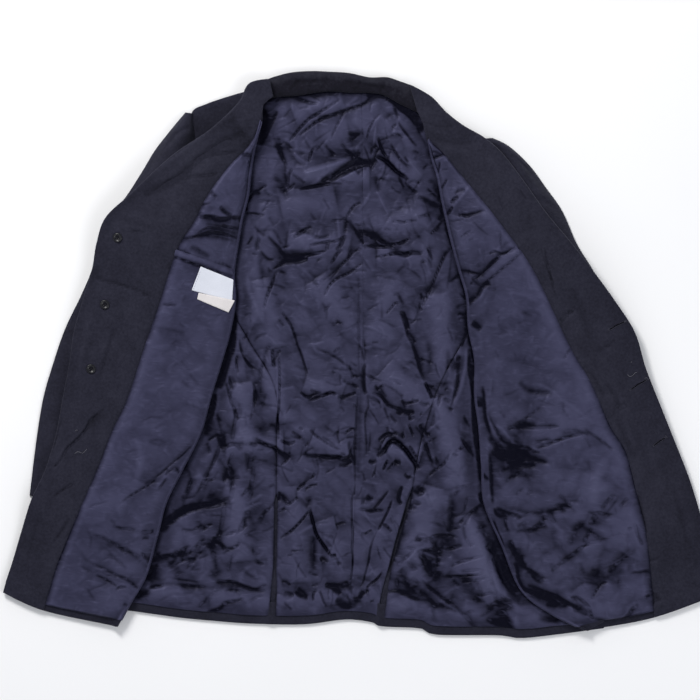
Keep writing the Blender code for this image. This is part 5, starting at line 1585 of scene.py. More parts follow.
    (-2, 1.4, 160, -252, 170, -250, 180, -247),
    (-2, 1.3, 164, -258, 169, -254),
    (-1.5, 1.3, 160, -261, 165, -262),
    (-2, 2, 151, -205, 149, -215, 147, -225, 145, -233),
    (-4, 2.5, 143, -328, 152, -328, 160, -325),
    (-4, 1.6, 163, -322, 166, -330, 170, -340, 173, -350),
    (-3, 1.4, 158, -330, 170, -326, 182, -322),
    (-5, 2, 162, -355, 168, -352, 176, -348, 184, -346, 191, -344),
    (-4.5, 2, 163, -357, 170, -356, 176, -359),
    (-4, 2, 170, -380, 180, -374, 186, -367, 190, -361, 196, -357, 203, -352),
    (-2.5, 1.3, 150, -374, 155, -372, 162, -372),
    (-6, 2.4, 178, -278, 184, -282, 189, -288),
    (-5, 2, 188, -296, 193, -300),
    (-4.5, 1.8, 180, -290, 183, -305, 186, -318, 188, -330, 191, -345, 193, -357),
    (-7, 3, 170, -200, 172, -212),
    (-6, 2.4, 197, -298, 199, -308, 202, -320, 208, -330, 216, -338, 226, -339),
    (-3, 1.3, 209, -317, 215, -322, 220, -326),
    (-4.5, 1.5, 193, -357, 200, -362, 206, -361),
    (-5, 1.5, 194, -366, 201, -370, 209, -369, 216, -365),
    (-7, 7, 198, -368, 205, -380, 212, -395, 216, -403),
    (-6, 5, 180, -380, 190, -386, 200, -390),
    (-2, 1.3, 205, -385, 212, -394),
    (-5, 2.5, 36, -345, 47, -342, 60, -347, 70, -352, 82, -356),
    (-2.5, 3, 100, -360, 102, -375, 102, -388),
    (-4, 5, 255, -382, 270, -384, 285, -386),
    (-3, 5, 166, -125, 170, -133, 178, -137),
))

# Linings of the fronts
FRONT_CREASES = from_table((
    # right, below the facing's curve
    (-6, 3, -236, 199, -220, 200, -205, 197, -188, 199, -172, 199),
    (-5, 3, -208, 214, -200, 207, -190, 201),
    (-2, 1.5, -238, 220, -230, 218, -220, 220),
    (-3, 1.6, -220, 237, -216, 232, -211, 228),
    (-3.5, 2, -204, 188, -192, 185, -180, 184),
    (-4, 1.8, -262, 168, -246, 171, -230, 175, -213, 176, -197, 174, -182, 169),
    (-2.5, 1.3, -240, 175, -230, 182, -222, 184, -205, 182, -183, 176),
    (-2, 4, -250, 157, -238, 151, -222, 142),
    (1.5, 5, -252, 143, -235, 137, -215, 133),
    (-1.5, 2.5, -206, 134, -197, 129, -189, 121),
    (-2.5, 1.2, -272, 142, -258, 137, -237, 129),
    (-2.5, 1.2, -265, 151, -258, 148, -250, 144),
    (-3, 4, -176, 291, -168, 290, -160, 288),
    (-2.5, 2, -167, 280, -160, 277),
    (-3, 1.8, -290, 74, -283, 72, -270, 72),
    # right, skirt
    (-2, 1.4, -245, -128, -255, -138, -265, -148, -280, -160, -290, -170, -305, -180),
    (1.5, 2.5, -242, -140, -252, -150, -262, -162, -270, -172),
    (-3, 2, -287, -174, -278, -167, -272, -165, -266, -172, -264, -182),
    (-3, 2.5, -296, -195, -291, -188, -284, -178),
    (-2, 1.5, -352, -216, -340, -206, -325, -197, -310, -188, -298, -178),
    (-1.2, 1.2, -400, -222, -390, -218, -380, -215, -368, -213),
    (-3, 2, -363, -247, -350, -251, -340, -252, -330, -254),
    (-4, 3, -322, -257, -312, -257, -303, -255),
    (-3.5, 2.5, -283, -228, -276, -214, -270, -203),
    (-3.5, 1.6, -393, -259, -380, -264, -367, -270, -352, -278, -340, -284, -330, -289, -322, -293),
    (-3.5, 1.5, -392, -303, -380, -308, -368, -314, -355, -320, -345, -324, -337, -330, -328, -337,
     -324, -342),
    (-3, 2, -387, -319, -378, -323, -365, -330, -357, -336),
    (-3, 2.5, -358, -340, -352, -337, -343, -337),
    (-1.8, 1.3, -368, -287, -360, -295, -350, -303, -342, -311),
    (-1.5, 1.3, -409, -307, -400, -312, -393, -315),
    (-1.2, 1.2, -400, -338, -393, -350, -388, -357),
    (-3, 2, -348, -360, -342, -363, -338, -366),
    (-4, 2, -322, -286, -316, -293, -308, -300, -303, -305),
    (-3, 2, -320, -265, -310, -266),
    (1.5, 6, -330, -120, -322, -150, -330, -185),
    # left, top
    (-5, 3, 96, 283, 106, 287, 118, 291),
    (-1.5, 1.2, 96, 293, 103, 294, 112, 292),
    (-3, 2, 106, 262, 110, 270, 111, 280),
    (-3, 2, 114, 241, 118, 248, 122, 255),
    (-4, 2.5, 127, 220, 132, 226, 138, 229),
    (-2.5, 3, 133, 233, 140, 238, 148, 240),
    (-4, 2.5, 122, 203, 126, 209, 130, 215),
    (-3, 3, 138, 204, 150, 202, 160, 205, 178, 209),
    (-1.2, 2, 140, 203, 150, 203),
    (1.5, 2.5, 130, 214, 142, 228, 153, 241, 157, 250),
    (-1, 1.5, 113, 268, 123, 269),
    (-1.2, 1.2, 124, 195, 132, 194, 143, 196),
    (-1.5, 1.3, 141, 170, 148, 175, 156, 181),
    (-1, 2, 152, 166, 160, 168),
    (-1, 1.2, 157, 195, 166, 186, 175, 178, 182, 173),
    (-4, 1.8, 183, 146, 188, 149, 195, 149, 200, 147),
    (-4, 1.6, 200, 145, 207, 147, 213, 149, 220, 152, 227, 154),
    (-5, 2, 197, 142, 190, 137, 183, 130, 176, 120, 168, 114, 160, 112),
    (-4, 1.6, 194, 140, 187, 133, 181, 126, 176, 118, 172, 112),
    (-3.5, 1.6, 142, 122, 150, 122, 158, 120, 165, 118, 172, 118),
    (-3, 2.5, 157, 110, 163, 112, 170, 113),
    (-2, 1.3, 155, 105, 159, 103),
    (-2, 1.2, 158, 109, 165, 104, 170, 101),
    (-6, 4, 185, 104, 178, 101, 172, 98, 166, 88, 158, 80, 153, 74),
    (-1.5, 1.2, 180, 96, 187, 95, 193, 95),
    (-4, 5, 158, 48, 165, 42, 172, 37),
    (1, 1.2, 212, 92, 225, 88, 238, 85, 250, 79),
    (1, 1.2, 266, 20, 275, 28, 283, 35),
    (-1.2, 1.2, 199, 182, 199, 165, 200, 150),
    # left, waist
    (-7, 5, 163, -71, 170, -70, 175, -66),
    (-5, 3, 173, -45, 175, -60, 176, -75, 177, -88, 180, -100, 184, -112, 188, -122),
    (-5, 2.2, 180, -83, 186, -95, 192, -106, 198, -118, 204, -126, 215, -131, 230, -134),
    (2, 2.5, 177, -78, 183, -90, 192, -102, 202, -108, 210, -118, 218, -126, 232, -131, 248, -136,
     262, -145, 275, -153),
    (-4, 2, 212, -121, 230, -131, 240, -134, 250, -140, 263, -142),
    (-8, 5, 183, -118, 190, -128, 200, -135, 212, -138, 225, -142, 240, -147),
    (-9, 7, 187, -138, 197, -143, 210, -148, 225, -152, 235, -156),
    (-4, 2.5, 235, -146, 250, -152, 268, -157),
    (-5, 3, 215, -158, 230, -160, 250, -162),
    (-6, 2.4, 210, -108, 218, -105, 235, -105, 252, -105, 270, -104, 285, -103),
    (-4, 5, 222, -101, 235, -101, 250, -102),
    (-2, 1.3, 217, -103, 230, -95, 245, -85, 260, -72),
    (-4, 2.5, 250, -135, 262, -132, 275, -127, 290, -121, 308, -116, 320, -113, 326, -116),
    (-3, 2, 248, -128, 260, -124, 272, -121),
    (-2.5, 1.8, 290, -112, 303, -110, 315, -111),
    (1.5, 2, 245, -42, 262, -45, 280, -58, 290, -67, 300, -73, 312, -82, 325, -92, 332, -96),
    (-2.5, 5, 225, -38, 238, -50, 255, -54, 275, -55),
    (-2, 1.2, 291, -7, 295, 2, 300, 9),
    (1, 1.2, 280, -14, 290, -8, 300, -13),
    (-2.5, 1.5, 320, -107, 332, -115, 342, -122, 355, -132, 362, -138),
    (2, 8, 352, -150, 340, -175, 335, -200, 332, -215),
    (-5, 1.8, 172, -168, 176, -175, 182, -181),
    (-3, 1.5, 201, -169, 206, -166, 211, -163),
    (-1.8, 1.3, 206, -185, 213, -178, 216, -173),
    (-1.5, 1.2, 218, -180, 226, -170),
    (-5, 2.5, 183, -140, 185, -165, 186, -190, 188, -215),
    # left, skirt
    (-2, 1.3, 220, -204, 227, -198, 233, -193),
    (-2, 1.3, 235, -203, 241, -200, 246, -197),
    (-1.2, 1.2, 260, -199, 272, -196),
    (-3, 1.5, 277, -216, 285, -217, 297, -217, 300, -219),
    (-2, 1.3, 284, -202, 292, -210, 298, -217),
    (-2.5, 1.3, 300, -211, 306, -212, 313, -211),
    (-4, 2.2, 265, -227, 275, -225, 290, -222, 302, -221),
    (-4, 3, 270, -230, 277, -229),
    (-3, 3, 287, -227, 293, -226),
    (2, 1.5, 263, -228, 270, -237, 277, -245, 284, -252, 292, -256),
    (-3.5, 1.5, 268, -227, 275, -238, 278, -243),
    (-2, 1.5, 225, -234, 235, -232, 248, -229),
    (-3, 1.8, 223, -248, 230, -245, 236, -243),
    (-5, 4, 236, -258, 246, -253, 253, -248, 261, -240),
    (-3, 1.5, 258, -249, 264, -246),
    (-3, 3, 262, -240, 265, -233),
    (-5, 3, 346, -223, 351, -217, 357, -209, 363, -203),
    (-3, 3, 372, -220, 377, -214, 383, -207),
    (-5, 1.8, 326, -226, 334, -229, 342, -228, 350, -230, 361, -231),
    (-6, 4, 337, -233, 332, -240, 330, -246),
    (-6, 2.5, 331, -251, 327, -258, 323, -265, 321, -272),
    (-2, 1.2, 317, -245, 324, -252, 328, -256),
    (-3, 1.2, 330, -254, 336, -261, 341, -267),
    (-2.5, 9, 318, -240, 311, -252, 305, -262, 297, -274),
    (-6, 2.2, 328, -273, 318, -279, 308, -286, 297, -294, 288, -298),
    (2, 1.3, 332, -276, 320, -280, 308, -288, 295, -299, 285, -303),
    (-4, 1.5, 318, -283, 305, -291, 293, -300, 280, -307, 273, -315),
    (-2, 1.3, 328, -272, 340, -270, 353, -266),
    (-2, 1.3, 314, -301, 317, -309, 321, -316),
    (-3, 3, 333, -310, 337, -317, 340, -311),
    (-3, 1.4, 350, -310, 360, -306, 369, -302, 377, -296, 386, -288, 395, -282),
    (-3, 3, 368, -305, 361, -311, 355, -314),
    (-3, 1.4, 387, -316, 400, -315, 410, -313, 418, -312),
    (-3.5, 1.6, 331, -354, 337, -345, 342, -336, 347, -331, 355, -330),
    (-2.5, 1.8, 366, -329, 375, -329),
    (-4, 2, 393, -243, 396, -255, 401, -268, 405, -275),
    (-3, 1.5, 385, -254, 388, -250),
    (-6, 3, 193, -221, 200, -225, 210, -229, 222, -232, 230, -238),
    (-5, 2.2, 190, -222, 193, -230, 200, -234, 212, -232),
    (-4, 1.5, 210, -235, 206, -240, 208, -250, 212, -257),
    (-5, 2.4, 189, -240, 194, -255, 199, -265, 203, -278),
    (-7, 4, 213, -268, 217, -280, 222, -290, 230, -300, 237, -305),
    (-4, 6, 222, -280, 228, -290, 233, -297),
    (-4, 1.3, 225, -301, 235, -308, 247, -314, 258, -320, 264, -325),
    (-3.5, 1.3, 237, -309, 250, -318, 262, -326),
    (-4, 1.6, 243, -318, 252, -327, 261, -330),
    (-6, 2.2, 219, -300, 223, -310, 224, -320, 227, -330, 232, -338, 240, -343, 255, -348,
     270, -354, 282, -357),
    (-7, 2.6, 238, -333, 250, -338, 262, -343, 275, -349, 288, -355, 300, -361, 310, -368,
     320, -374),
    (-6, 5, 245, -342, 260, -349, 275, -354),
    (-5, 2.2, 303, -351, 312, -352, 320, -358, 327, -365, 330, -374, 333, -383),
    (-6, 6, 305, -365, 315, -368, 325, -376),
    (-3, 1.3, 301, -350, 310, -358),
    (-5, 5, 265, -362, 285, -362, 300, -363),
    (-4, 4, 335, -382, 345, -385, 360, -388, 375, -386, 385, -378, 392, -368, 400, -362),
    (-3, 2, 408, -351, 416, -348),
))

# Facings of the fronts
FACING_CREASES = from_table((
    # right: the roll's soft ridge and the valleys beside it
    (3.5, 9, -335, 236, -318, 252, -300, 266, -270, 286, -245, 306, -222, 326),
    (-4.5, 9, -318, 228, -300, 238, -280, 248, -255, 265, -235, 284, -215, 300, -190, 315),
    (-3, 4, -290, 246, -270, 254, -255, 257, -225, 260, -210, 262),
    (-3, 4, -245, 282, -225, 289, -200, 292, -180, 294),
    (-3.5, 3, -302, 270, -285, 283, -270, 293, -256, 305, -245, 315, -235, 326),
    (-2.5, 10, -225, 283, -205, 300, -180, 318, -160, 330),
    (-2.5, 3, -388, 113, -372, 107, -351, 102, -330, 95, -310, 85),
    (-1.5, 2, -320, 88, -312, 86, -305, 84),
    (-2, 2, -336, 181, -328, 180, -318, 178),
    (-1.5, 6, -348, 197, -325, 190, -300, 181),
    (-1.5, 5, -429, -22, -436, -60, -446, -105),
    (-5, 2.6, -375, -78, -388, -88, -395, -95, -402, -108, -410, -118, -420, -128, -428, -135,
     -434, -145, -437, -150),
    (-2.5, 2, -437, -150, -442, -157, -447, -160),
    (-2, 2.5, -440, -110, -447, -130, -455, -150),
    (-1.5, 2, -436, -95, -444, -115, -448, -135),
    (-2.5, 3, -418, -186, -430, -192, -447, -204),
    (-2, 3, -425, -236, -437, -255, -450, -274),
    (-1.6, 4, -360, 40, -372, 0, -384, -40),
    (1.2, 6, -395, 60, -405, 10, -415, -40),
    (-1.4, 6, -470, -230, -478, -265, -486, -300),
    (-0.8, 0.8, -418, -143, -413, -144, -408, -143, -404, -139, -400, -136),
    # left
    (-1.2, 1.5, 90, 338, 100, 333, 110, 331, 125, 331, 142, 335),
    (-2.5, 9, 85, 335, 100, 316, 125, 309, 160, 304),
    (1, 1, 163, 326, 168, 316, 176, 307),
    (-1.5, 1.8, 256, 158, 261, 142, 267, 125, 272, 110, 277, 92, 281, 82),
    (-2.5, 1.5, 283, 49, 288, 52, 294, 57, 301, 62, 308, 70),
    (-1, 2, 197, 227, 200, 216, 203, 208),
    (-1.5, 2, 226, 240, 231, 233, 236, 226),
    (-2, 1.6, 340, 5, 350, 10, 358, 16, 365, 20),
    (-2, 6, 318, -15, 333, -30, 340, -45, 350, -60),
    (-2, 5, 345, -35, 357, -48, 366, -60, 370, -72, 380, -75),
    (-3, 3, 365, -73, 375, -76, 382, -72),
    (-2, 7, 366, -92, 382, -125, 392, -150),
    (-2, 6, 398, -200, 404, -230, 410, -260),
    (-1.6, 7, 452, -205, 462, -240, 470, -280),
    (-1.2, 3, 478, -330, 486, -334, 494, -330),
    (-2.5, 1.6, 262, 155, 268, 128, 276, 100),
    (-2.6, 1.8, 287, 47, 297, 60, 306, 66),
    (-2, 2, 408, -300, 420, -297, 432, -292),
    (1.2, 8, 400, -100, 420, -150, 436, -200),
    (-1.5, 8, 300, 100, 318, 60, 330, 20),
    (-3.5, 3.5, 410, -352, 420, -348, 428, -349),
    (-4, 5, 408, -362, 420, -357, 432, -352),
))

SLEEVE_CREASES = from_table((
    (-4, 5, -250, 330, -268, 322, -285, 300),
    (-3, 4, -285, 320, -300, 292, -315, 262),
    (-3, 6, -262, 250, -300, 235, -330, 232),
    (-3.5, 6, -270, 190, -310, 180, -350, 190),
    (3, 7, -275, 160, -320, 150, -365, 158),
    (-3.5, 6, -280, 120, -330, 108, -380, 118),
    (-3, 7, -300, 40, -345, 30, -395, 45),
    (-3, 7, -330, -60, -380, -70, -425, -55),
    (-3.5, 5, 215, 290, 240, 268, 262, 240),
    (-3, 6, 235, 230, 268, 220, 290, 200),
    (-3.5, 7, 240, 160, 275, 158, 310, 150),
    (3, 7, 250, 120, 290, 112, 325, 110),
    (-3.5, 7, 255, 70, 300, 62, 345, 72),
    (-3, 7, 280, -20, 325, -30, 375, -10),
    (-3, 7, 300, -110, 350, -120, 400, -95),
    (-2.5, 7, 330, -200, 380, -205, 425, -180),
))

COLLAR_CREASES = from_table((
    (1.6, 3, -126, 404, -104, 408, -75, 410, -48, 409, -19, 407, 9, 401, 35, 401, 54, 395),
    (-2, 5, -118, 391, -95, 396, -70, 398, -40, 399),
    (-2.4, 5, -30, 397, -5, 394, 18, 390, 40, 386),
    (-2, 3, -108, 384, -98, 392, -92, 402),
    (-1.6, 3, -62, 385, -55, 394, -52, 404),
    (-2, 3, -14, 384, -6, 391, -4, 399),
    (-2, 3, 24, 381, 29, 389, 30, 398),
    (-1.6, 2.5, 46, 372, 50, 380, 52, 390),
    (-1.5, 2, -80, 388, -74, 396, -66, 401),
))

# Small random creases: seed, number, corners of their box, angle, spread, length, depth
BACK_CRINKLES = (
    crinkles(21, 90, (-150, 240), (110, 370), 35, 45, 38, 1.2)
    + crinkles(22, 90, (-170, 20), (140, 240), -10, 50, 34, 1.1)
    + crinkles(23, 90, (-200, -150), (160, 20), -25, 50, 34, 1.3)
    + crinkles(24, 60, (-300, -370), (-130, -160), 30, 40, 34, 1.3)
    + crinkles(25, 55, (-125, -370), (50, -160), -40, 40, 36, 1.2)
    + crinkles(26, 70, (40, -400), (220, -160), -20, 45, 36, 1.3))
FRONT_CRINKLES = (
    crinkles(31, 45, (-400, -340), (-170, 0), -35, 40, 34, 0.8)
    + crinkles(32, 25, (-290, 0), (-170, 240), -20, 50, 30, 0.7)
    + crinkles(33, 55, (100, -60), (300, 300), 40, 45, 30, 0.8)
    + crinkles(34, 70, (180, -400), (400, -60), -35, 40, 34, 0.9))


# ---------------------------------------------------------------- small pieces
def surface_of(*items):
    """A search tree of finished pieces, in millimetres."""
    points, faces = [], []
    for item in items:
        start = len(points)
        points.extend(vertex.co / MM for vertex in item.data.vertices)
        faces.extend([start + i for i in polygon.vertices] for polygon in item.data.polygons)
    return BVHTree.FromPolygons(points, faces)


def patch(name, corners, tree, lift, thickness, material, slot, node, crown=0.0, spacing=1.5):
    """A small piece of cloth on a surface, between four corners; crown rounds it across."""
    a, b, c, d = (np.array(corner, float) for corner in corners)
    u = np.linspace(0, 1, steps(np.linalg.norm(b - a), spacing) + 1)[None, :, None]
    v = np.linspace(0, 1, steps(np.linalg.norm(d - a), spacing) + 1)[:, None, None]
    place = (1 - v) * ((1 - u) * a + u * b) + v * ((1 - u) * d + u * c)
    z = blurred(filled(height_on(tree, place[..., 0], place[..., 1])), 1.0) + lift
    z = z + crown * np.sin(np.pi * v[..., 0]) * np.ones_like(z)
    z = z + 0.25 * noise(place[..., 0], place[..., 1], 9, 11)
    item = shell(name, np.concatenate((place, z[..., None]), -1), thickness, 1, material,
                 fold_shade(z, spacing, 0.6))
    return finish(item, slot, node)


def rod_mesh(paths, radius, sides=6):
    """Points and faces of many thin round threads."""
    points, faces = [], []
    for path in paths:
        path = np.asarray(path, float)
        way = np.gradient(path, axis=0)
        way /= np.maximum(np.linalg.norm(way, axis=1, keepdims=True), 1e-9)
        first = np.cross(way, (0.1, 0.2, 1.0))
        first /= np.maximum(np.linalg.norm(first, axis=1, keepdims=True), 1e-9)
        second = np.cross(way, first)
        start = sum(len(p) for p in points)
        angle = np.linspace(0, 2 * math.pi, sides + 1)[:-1]
        ring = (first[:, None] * np.cos(angle)[None, :, None]
                + second[:, None] * np.sin(angle)[None, :, None])
        size = np.full(len(path), radius)
        size[[0, -1]] = radius * 0.35
        points.append((path[:, None] + ring * size[:, None, None]).reshape(-1, 3))
        for i in range(len(path) - 1):
            for j in range(sides):
                a, b = start + i * sides + j, start + i * sides + (j + 1) % sides
                faces.append((a, b, b + sides, a + sides))
    return np.vstack(points), np.array(faces)


def thread_piece(name, paths, radius, material):
    points, faces = rod_mesh(paths, radius)
    item = mesh_object(name, points, [faces], material)
    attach(item, "root")
    return item


def stitch_line(tree, start, end, length, gap, rise=0.25):
    """Running stitches along a straight line on a surface."""
    start, end = np.array(start, float), np.array(end, float)
    total = np.linalg.norm(end - start)
    way = (end - start) / total
    paths = []
    for k in range(int(total / (length + gap))):
        s = k * (length + gap) + np.linspace(0, length, 5)
        place = start + way * s[:, None]
        z = height_on(tree, place[:, 0], place[:, 1])
        if np.isnan(z).any():
            continue
        z = z.max() + rise * np.array((-0.6, 0.7, 1.0, 0.7, -0.6))
        paths.append(np.column_stack((place, z)))
    return paths


def buttonhole(tree, start, end):
    """Thread worked round a slit: bars on both sides and a bar tack at the inner end."""
    start, end = np.array(start, float), np.array(end, float)
    total = np.linalg.norm(end - start)
    way = (end - start) / total
    side = np.array((-way[1], way[0]))
    paths = []
    for s in np.arange(0, total, 0.9):
        for turn in (-1, 1):
            across_slit = np.array((0.25, 0.9, 1.7))[:, None] * side * turn
            place = start + way * s + across_slit
            z = height_on(tree, place[:, 0], place[:, 1])
            z = np.nanmax(z) + np.array((0.15, 0.45, 0.0))
            paths.append(np.column_stack((place, z)))
    for turn in np.linspace(-1.8, 1.8, 6):
        place = end + side * turn + way * np.linspace(-0.3, 2.0, 4)[:, None]
        z = np.nanmax(height_on(tree, place[:, 0], place[:, 1])) + np.array((0.1, 0.5, 0.5, 0.1))
        paths.append(np.column_stack((place, z)))
    return paths


def cut(start, end):
    """The path of a buttonhole's slit, where a black strip paints the shade in the opening: shorter
    than the buttonhole, and a little bent.
    """
    start, end = np.array(start, float), np.array(end, float)
    way = end - start
    side = np.array((-way[1], way[0])) * SLIT_BEND
    return [start + way * share + side * bend
            for share, bend in ((SLIT_SPARE, 0), (0.5, 1), (1 - SLIT_SPARE, 0))]


def on_surface(tree, places, lift):
    """Paths of x and y, rounded and laid on a surface."""
    paths = []
    for place in places:
        place = rounded(place)
        z = height_on(tree, place[:, 0], place[:, 1]) + lift
        paths.append(np.column_stack((place, z)))
    return paths


def button(name, node, holes, material, rim):
    """A turned button where the frame's plain one is; returns the thread through its holes."""
    low, high = (np.array(corner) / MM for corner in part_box(node))
    centre = (low + high) / 2
    radius = (high[0] - low[0] + high[1] - low[1]) / 4
    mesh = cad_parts[node].data
    largest = max(mesh.polygons, key=lambda polygon: polygon.area)
    axis = np.array(largest.normal)
    axis *= 1 if axis[2] > 0 else -1
    height = BUTTON_HEIGHT if holes else FRONT_BUTTON_HEIGHT
    r = np.concatenate((np.linspace(0, 0.62, 15), (0.68, 0.75, 0.84, 0.92, 0.97, 1.0)))
    profile = np.interp(r, *zip(*rim)) * height
    angle = np.linspace(0, 2 * math.pi, 57)[:-1]
    x, y = radius * r[:, None] * np.cos(angle), radius * r[:, None] * np.sin(angle)
    z = np.repeat(profile[:, None], len(angle), 1)
    for hole in holes:
        away = np.hypot(x - hole[0], y - hole[1]) / HOLE_RADIUS
        z = z - 0.9 * height * 0.5 * (1 - ease((away - 0.75) / 0.5))
    first = np.cross(axis, (0, 1, 0))
    first /= np.linalg.norm(first)
    second = np.cross(axis, first)
    back = np.stack([np.stack((x[-1] * s, y[-1] * s, 0 * x[-1]), -1) for s in (0.97, 0.5, 0.02)])
    local = np.concatenate((np.stack((x, y, z), -1), back))
    turned_over = axis * (-1 if name.startswith("front") else 1)
    base = centre - turned_over * height * 0.5
    points = (base + local[..., :1] * first + local[..., 1:2] * second
              + local[..., 2:] * turned_over).reshape(-1, 3)
    count, around = local.shape[:2]
    a = (np.arange(count - 1)[:, None] * around + np.arange(around)).ravel()
    b = (np.arange(count - 1)[:, None] * around + (np.arange(around) + 1) % around).ravel()
    faces = np.stack((a, a + around, b + around, b), 1)
    finish(mesh_object(name, points, [faces], material), "button", node)
    paths = []
    for p, q in zip(holes, holes[1:] + holes[:1]):
        line = np.linspace(p, q, 7)
        lift = profile[4] + 0.25 * np.sin(np.linspace(0, math.pi, 7)) - 0.25
        local_line = np.column_stack((line, lift))
        paths.append(base + local_line[:, :1] * first + local_line[:, 1:2] * second
                     + local_line[:, 2:] * turned_over)
    return paths


# ---------------------------------------------------------------- materials
def new_material(name, roughness, **constants):
    material = bpy.data.materials.new(name)
    material.use_nodes = True
    nodes, links = material.node_tree.nodes, material.node_tree.links
    shader = nodes["Principled BSDF"]
    shader.inputs["Roughness"].default_value = roughness
    for key, value in constants.items():
        shader.inputs[key.replace("_", " ")].default_value = value
    place = nodes.new("ShaderNodeTexCoord").outputs["Object"]
    return material, nodes, links, shader, place


def noise_node(nodes, links, place, scale, detail=3.0, stretch=None, ridged=False):
    if stretch is not None:
        mapping = nodes.new("ShaderNodeMapping")
        mapping.inputs["Rotation"].default_value = (0, 0, math.radians(stretch[0]))
        mapping.inputs["Scale"].default_value = (stretch[1], 1, 1)
        links.new(place, mapping.inputs["Vector"])
        place = mapping.outputs["Vector"]
    item = nodes.new("ShaderNodeTexNoise")
    item.inputs["Scale"].default_value = scale
    item.inputs["Detail"].default_value = detail
    if ridged:
        item.noise_type = "RIDGED_MULTIFRACTAL"
        item.normalize = True
        item.inputs["Distortion"].default_value = 0.6
    links.new(place, item.inputs["Vector"])
    return item.outputs["Fac"]


def wave_node(nodes, links, place, pitch):
    """Diagonal waves with this pitch; at a scale of 1 they are 0.314 m apart."""
    item = nodes.new("ShaderNodeTexWave")
    item.bands_direction = "DIAGONAL"
    item.inputs["Scale"].default_value = 0.314 / (pitch * MM)
    item.inputs["Distortion"].default_value = 0.6
    links.new(place, item.inputs["Vector"])
    return item.outputs["Fac"]


def sums(nodes, links, terms, start=0.0):
    """start plus each (output, factor)."""
    total = None
    for output, factor in terms:
        item = nodes.new("ShaderNodeMath")
        item.operation = "MULTIPLY_ADD"
        links.new(output, item.inputs[0])
        item.inputs[1].default_value = factor
        if total is None:
            item.inputs[2].default_value = start
        else:
            links.new(total, item.inputs[2])
        total = item.outputs[0]
    return total


def tone(nodes, links, shader, fac, stops):
    """Base colour from a value and (place, colour) stops."""
    ramp = nodes.new("ShaderNodeValToRGB")
    ramp.color_ramp.elements[0].position, ramp.color_ramp.elements[1].position = 0.0, 1.0
    while len(ramp.color_ramp.elements) < len(stops):
        ramp.color_ramp.elements.new(0.5)
    for element, (at, color) in zip(ramp.color_ramp.elements, stops):
        element.position = at
        element.color = (*color, 1)
    links.new(fac, ramp.inputs["Fac"])
    links.new(ramp.outputs["Color"], shader.inputs["Base Color"])


def bumped(nodes, links, shader, height, strength, distance):
    bump = nodes.new("ShaderNodeBump")
    bump.inputs["Strength"].default_value = strength
    bump.inputs["Distance"].default_value = distance * MM
    links.new(height, bump.inputs["Height"])
    links.new(bump.outputs["Normal"], shader.inputs["Normal"])


def shade_node(nodes):
    item = nodes.new("ShaderNodeAttribute")
    item.attribute_name = "shade"
    return item.outputs["Fac"]


def wool_material(name, dark, middle, light):
    material, nodes, links, shader, place = new_material(
        name, 0.9, Specular_IOR_Level=0.12, Sheen_Weight=0.06, Sheen_Roughness=0.5,
        Sheen_Tint=(0.62, 0.64, 0.80, 1))
    fine = noise_node(nodes, links, place, 900, 4)
    nap = noise_node(nodes, links, place, 260, 3)
    mottle = noise_node(nodes, links, place, 38, 4)
    twill = wave_node(nodes, links, place, 1.1)
    fac = sums(nodes, links, ((mottle, 0.55), (nap, 0.7), (fine, 0.55), (twill, 0.08),
                              (shade_node(nodes), -0.45)), -0.44)
    tone(nodes, links, shader, fac, ((0.05, dark), (0.5, middle), (0.95, light)))
    height = sums(nodes, links, ((fine, 0.5), (nap, 0.6), (twill, 0.25)))
    bumped(nodes, links, shader, height, 0.5, 0.35)
    return material


def satin_material(name, dark, middle, light, roughness):
    material, nodes, links, shader, place = new_material(
        name, roughness, Specular_IOR_Level=0.14, Specular_Tint=(0.62, 0.62, 1.0, 1))
    soft = noise_node(nodes, links, place, 30, 3)
    crushed = noise_node(nodes, links, place, 75, 4, ridged=True)
    weave = wave_node(nodes, links, place, 0.6)
    wrinkle_bump_and_shading = noise_node(nodes, links, place, 190, 3, stretch=(35, 0.35), ridged=True)
    # The two ridged noises bump small crumples and wrinkles and also paint their light and shade into
    # the colour, lighter along their raised lines. The shade attribute paints shade into creases and
    # hollows and a highlight on ridges.
    fac = sums(nodes, links, ((soft, 0.26), (crushed, 0.24), (wrinkle_bump_and_shading, 0.20), (weave, 0.03),
                              (shade_node(nodes), -0.54)), 0.17)
    tone(nodes, links, shader, fac, ((0.0, dark), (0.5, middle), (1.0, light)))
    height = sums(nodes, links, ((crushed, 1.0), (soft, 0.8), (wrinkle_bump_and_shading, 0.45)))
    bumped(nodes, links, shader, height, 0.85, 1.4)
    return material


def plain_material(name, color, roughness, scale, variation, specular):
    """Plastic, thread, label cloth or floor: one colour with a grain."""
    material, nodes, links, shader, place = new_material(
        name, roughness, Specular_IOR_Level=specular)
    grain = noise_node(nodes, links, place, scale, 3)
    low = tuple(c * (1 - variation) for c in color)
    high = tuple(min(1.0, c * (1 + variation)) for c in color)
    tone(nodes, links, shader, grain, ((0.25, low), (0.75, high)))
    bumped(nodes, links, shader, grain, 0.3, 0.15)
    return material


# ---------------------------------------------------------------- stage
def area_light(name, place, size, power, color):
    light = bpy.data.lights.new(name, "AREA")
    light.energy = power
    light.size = size
    light.color = color
    item = bpy.data.objects.new(name, light)
    item.location = place
    item.rotation_euler = (-Vector(place)).to_track_quat("-Z", "Y").to_euler()
    bpy.context.scene.collection.objects.link(item)


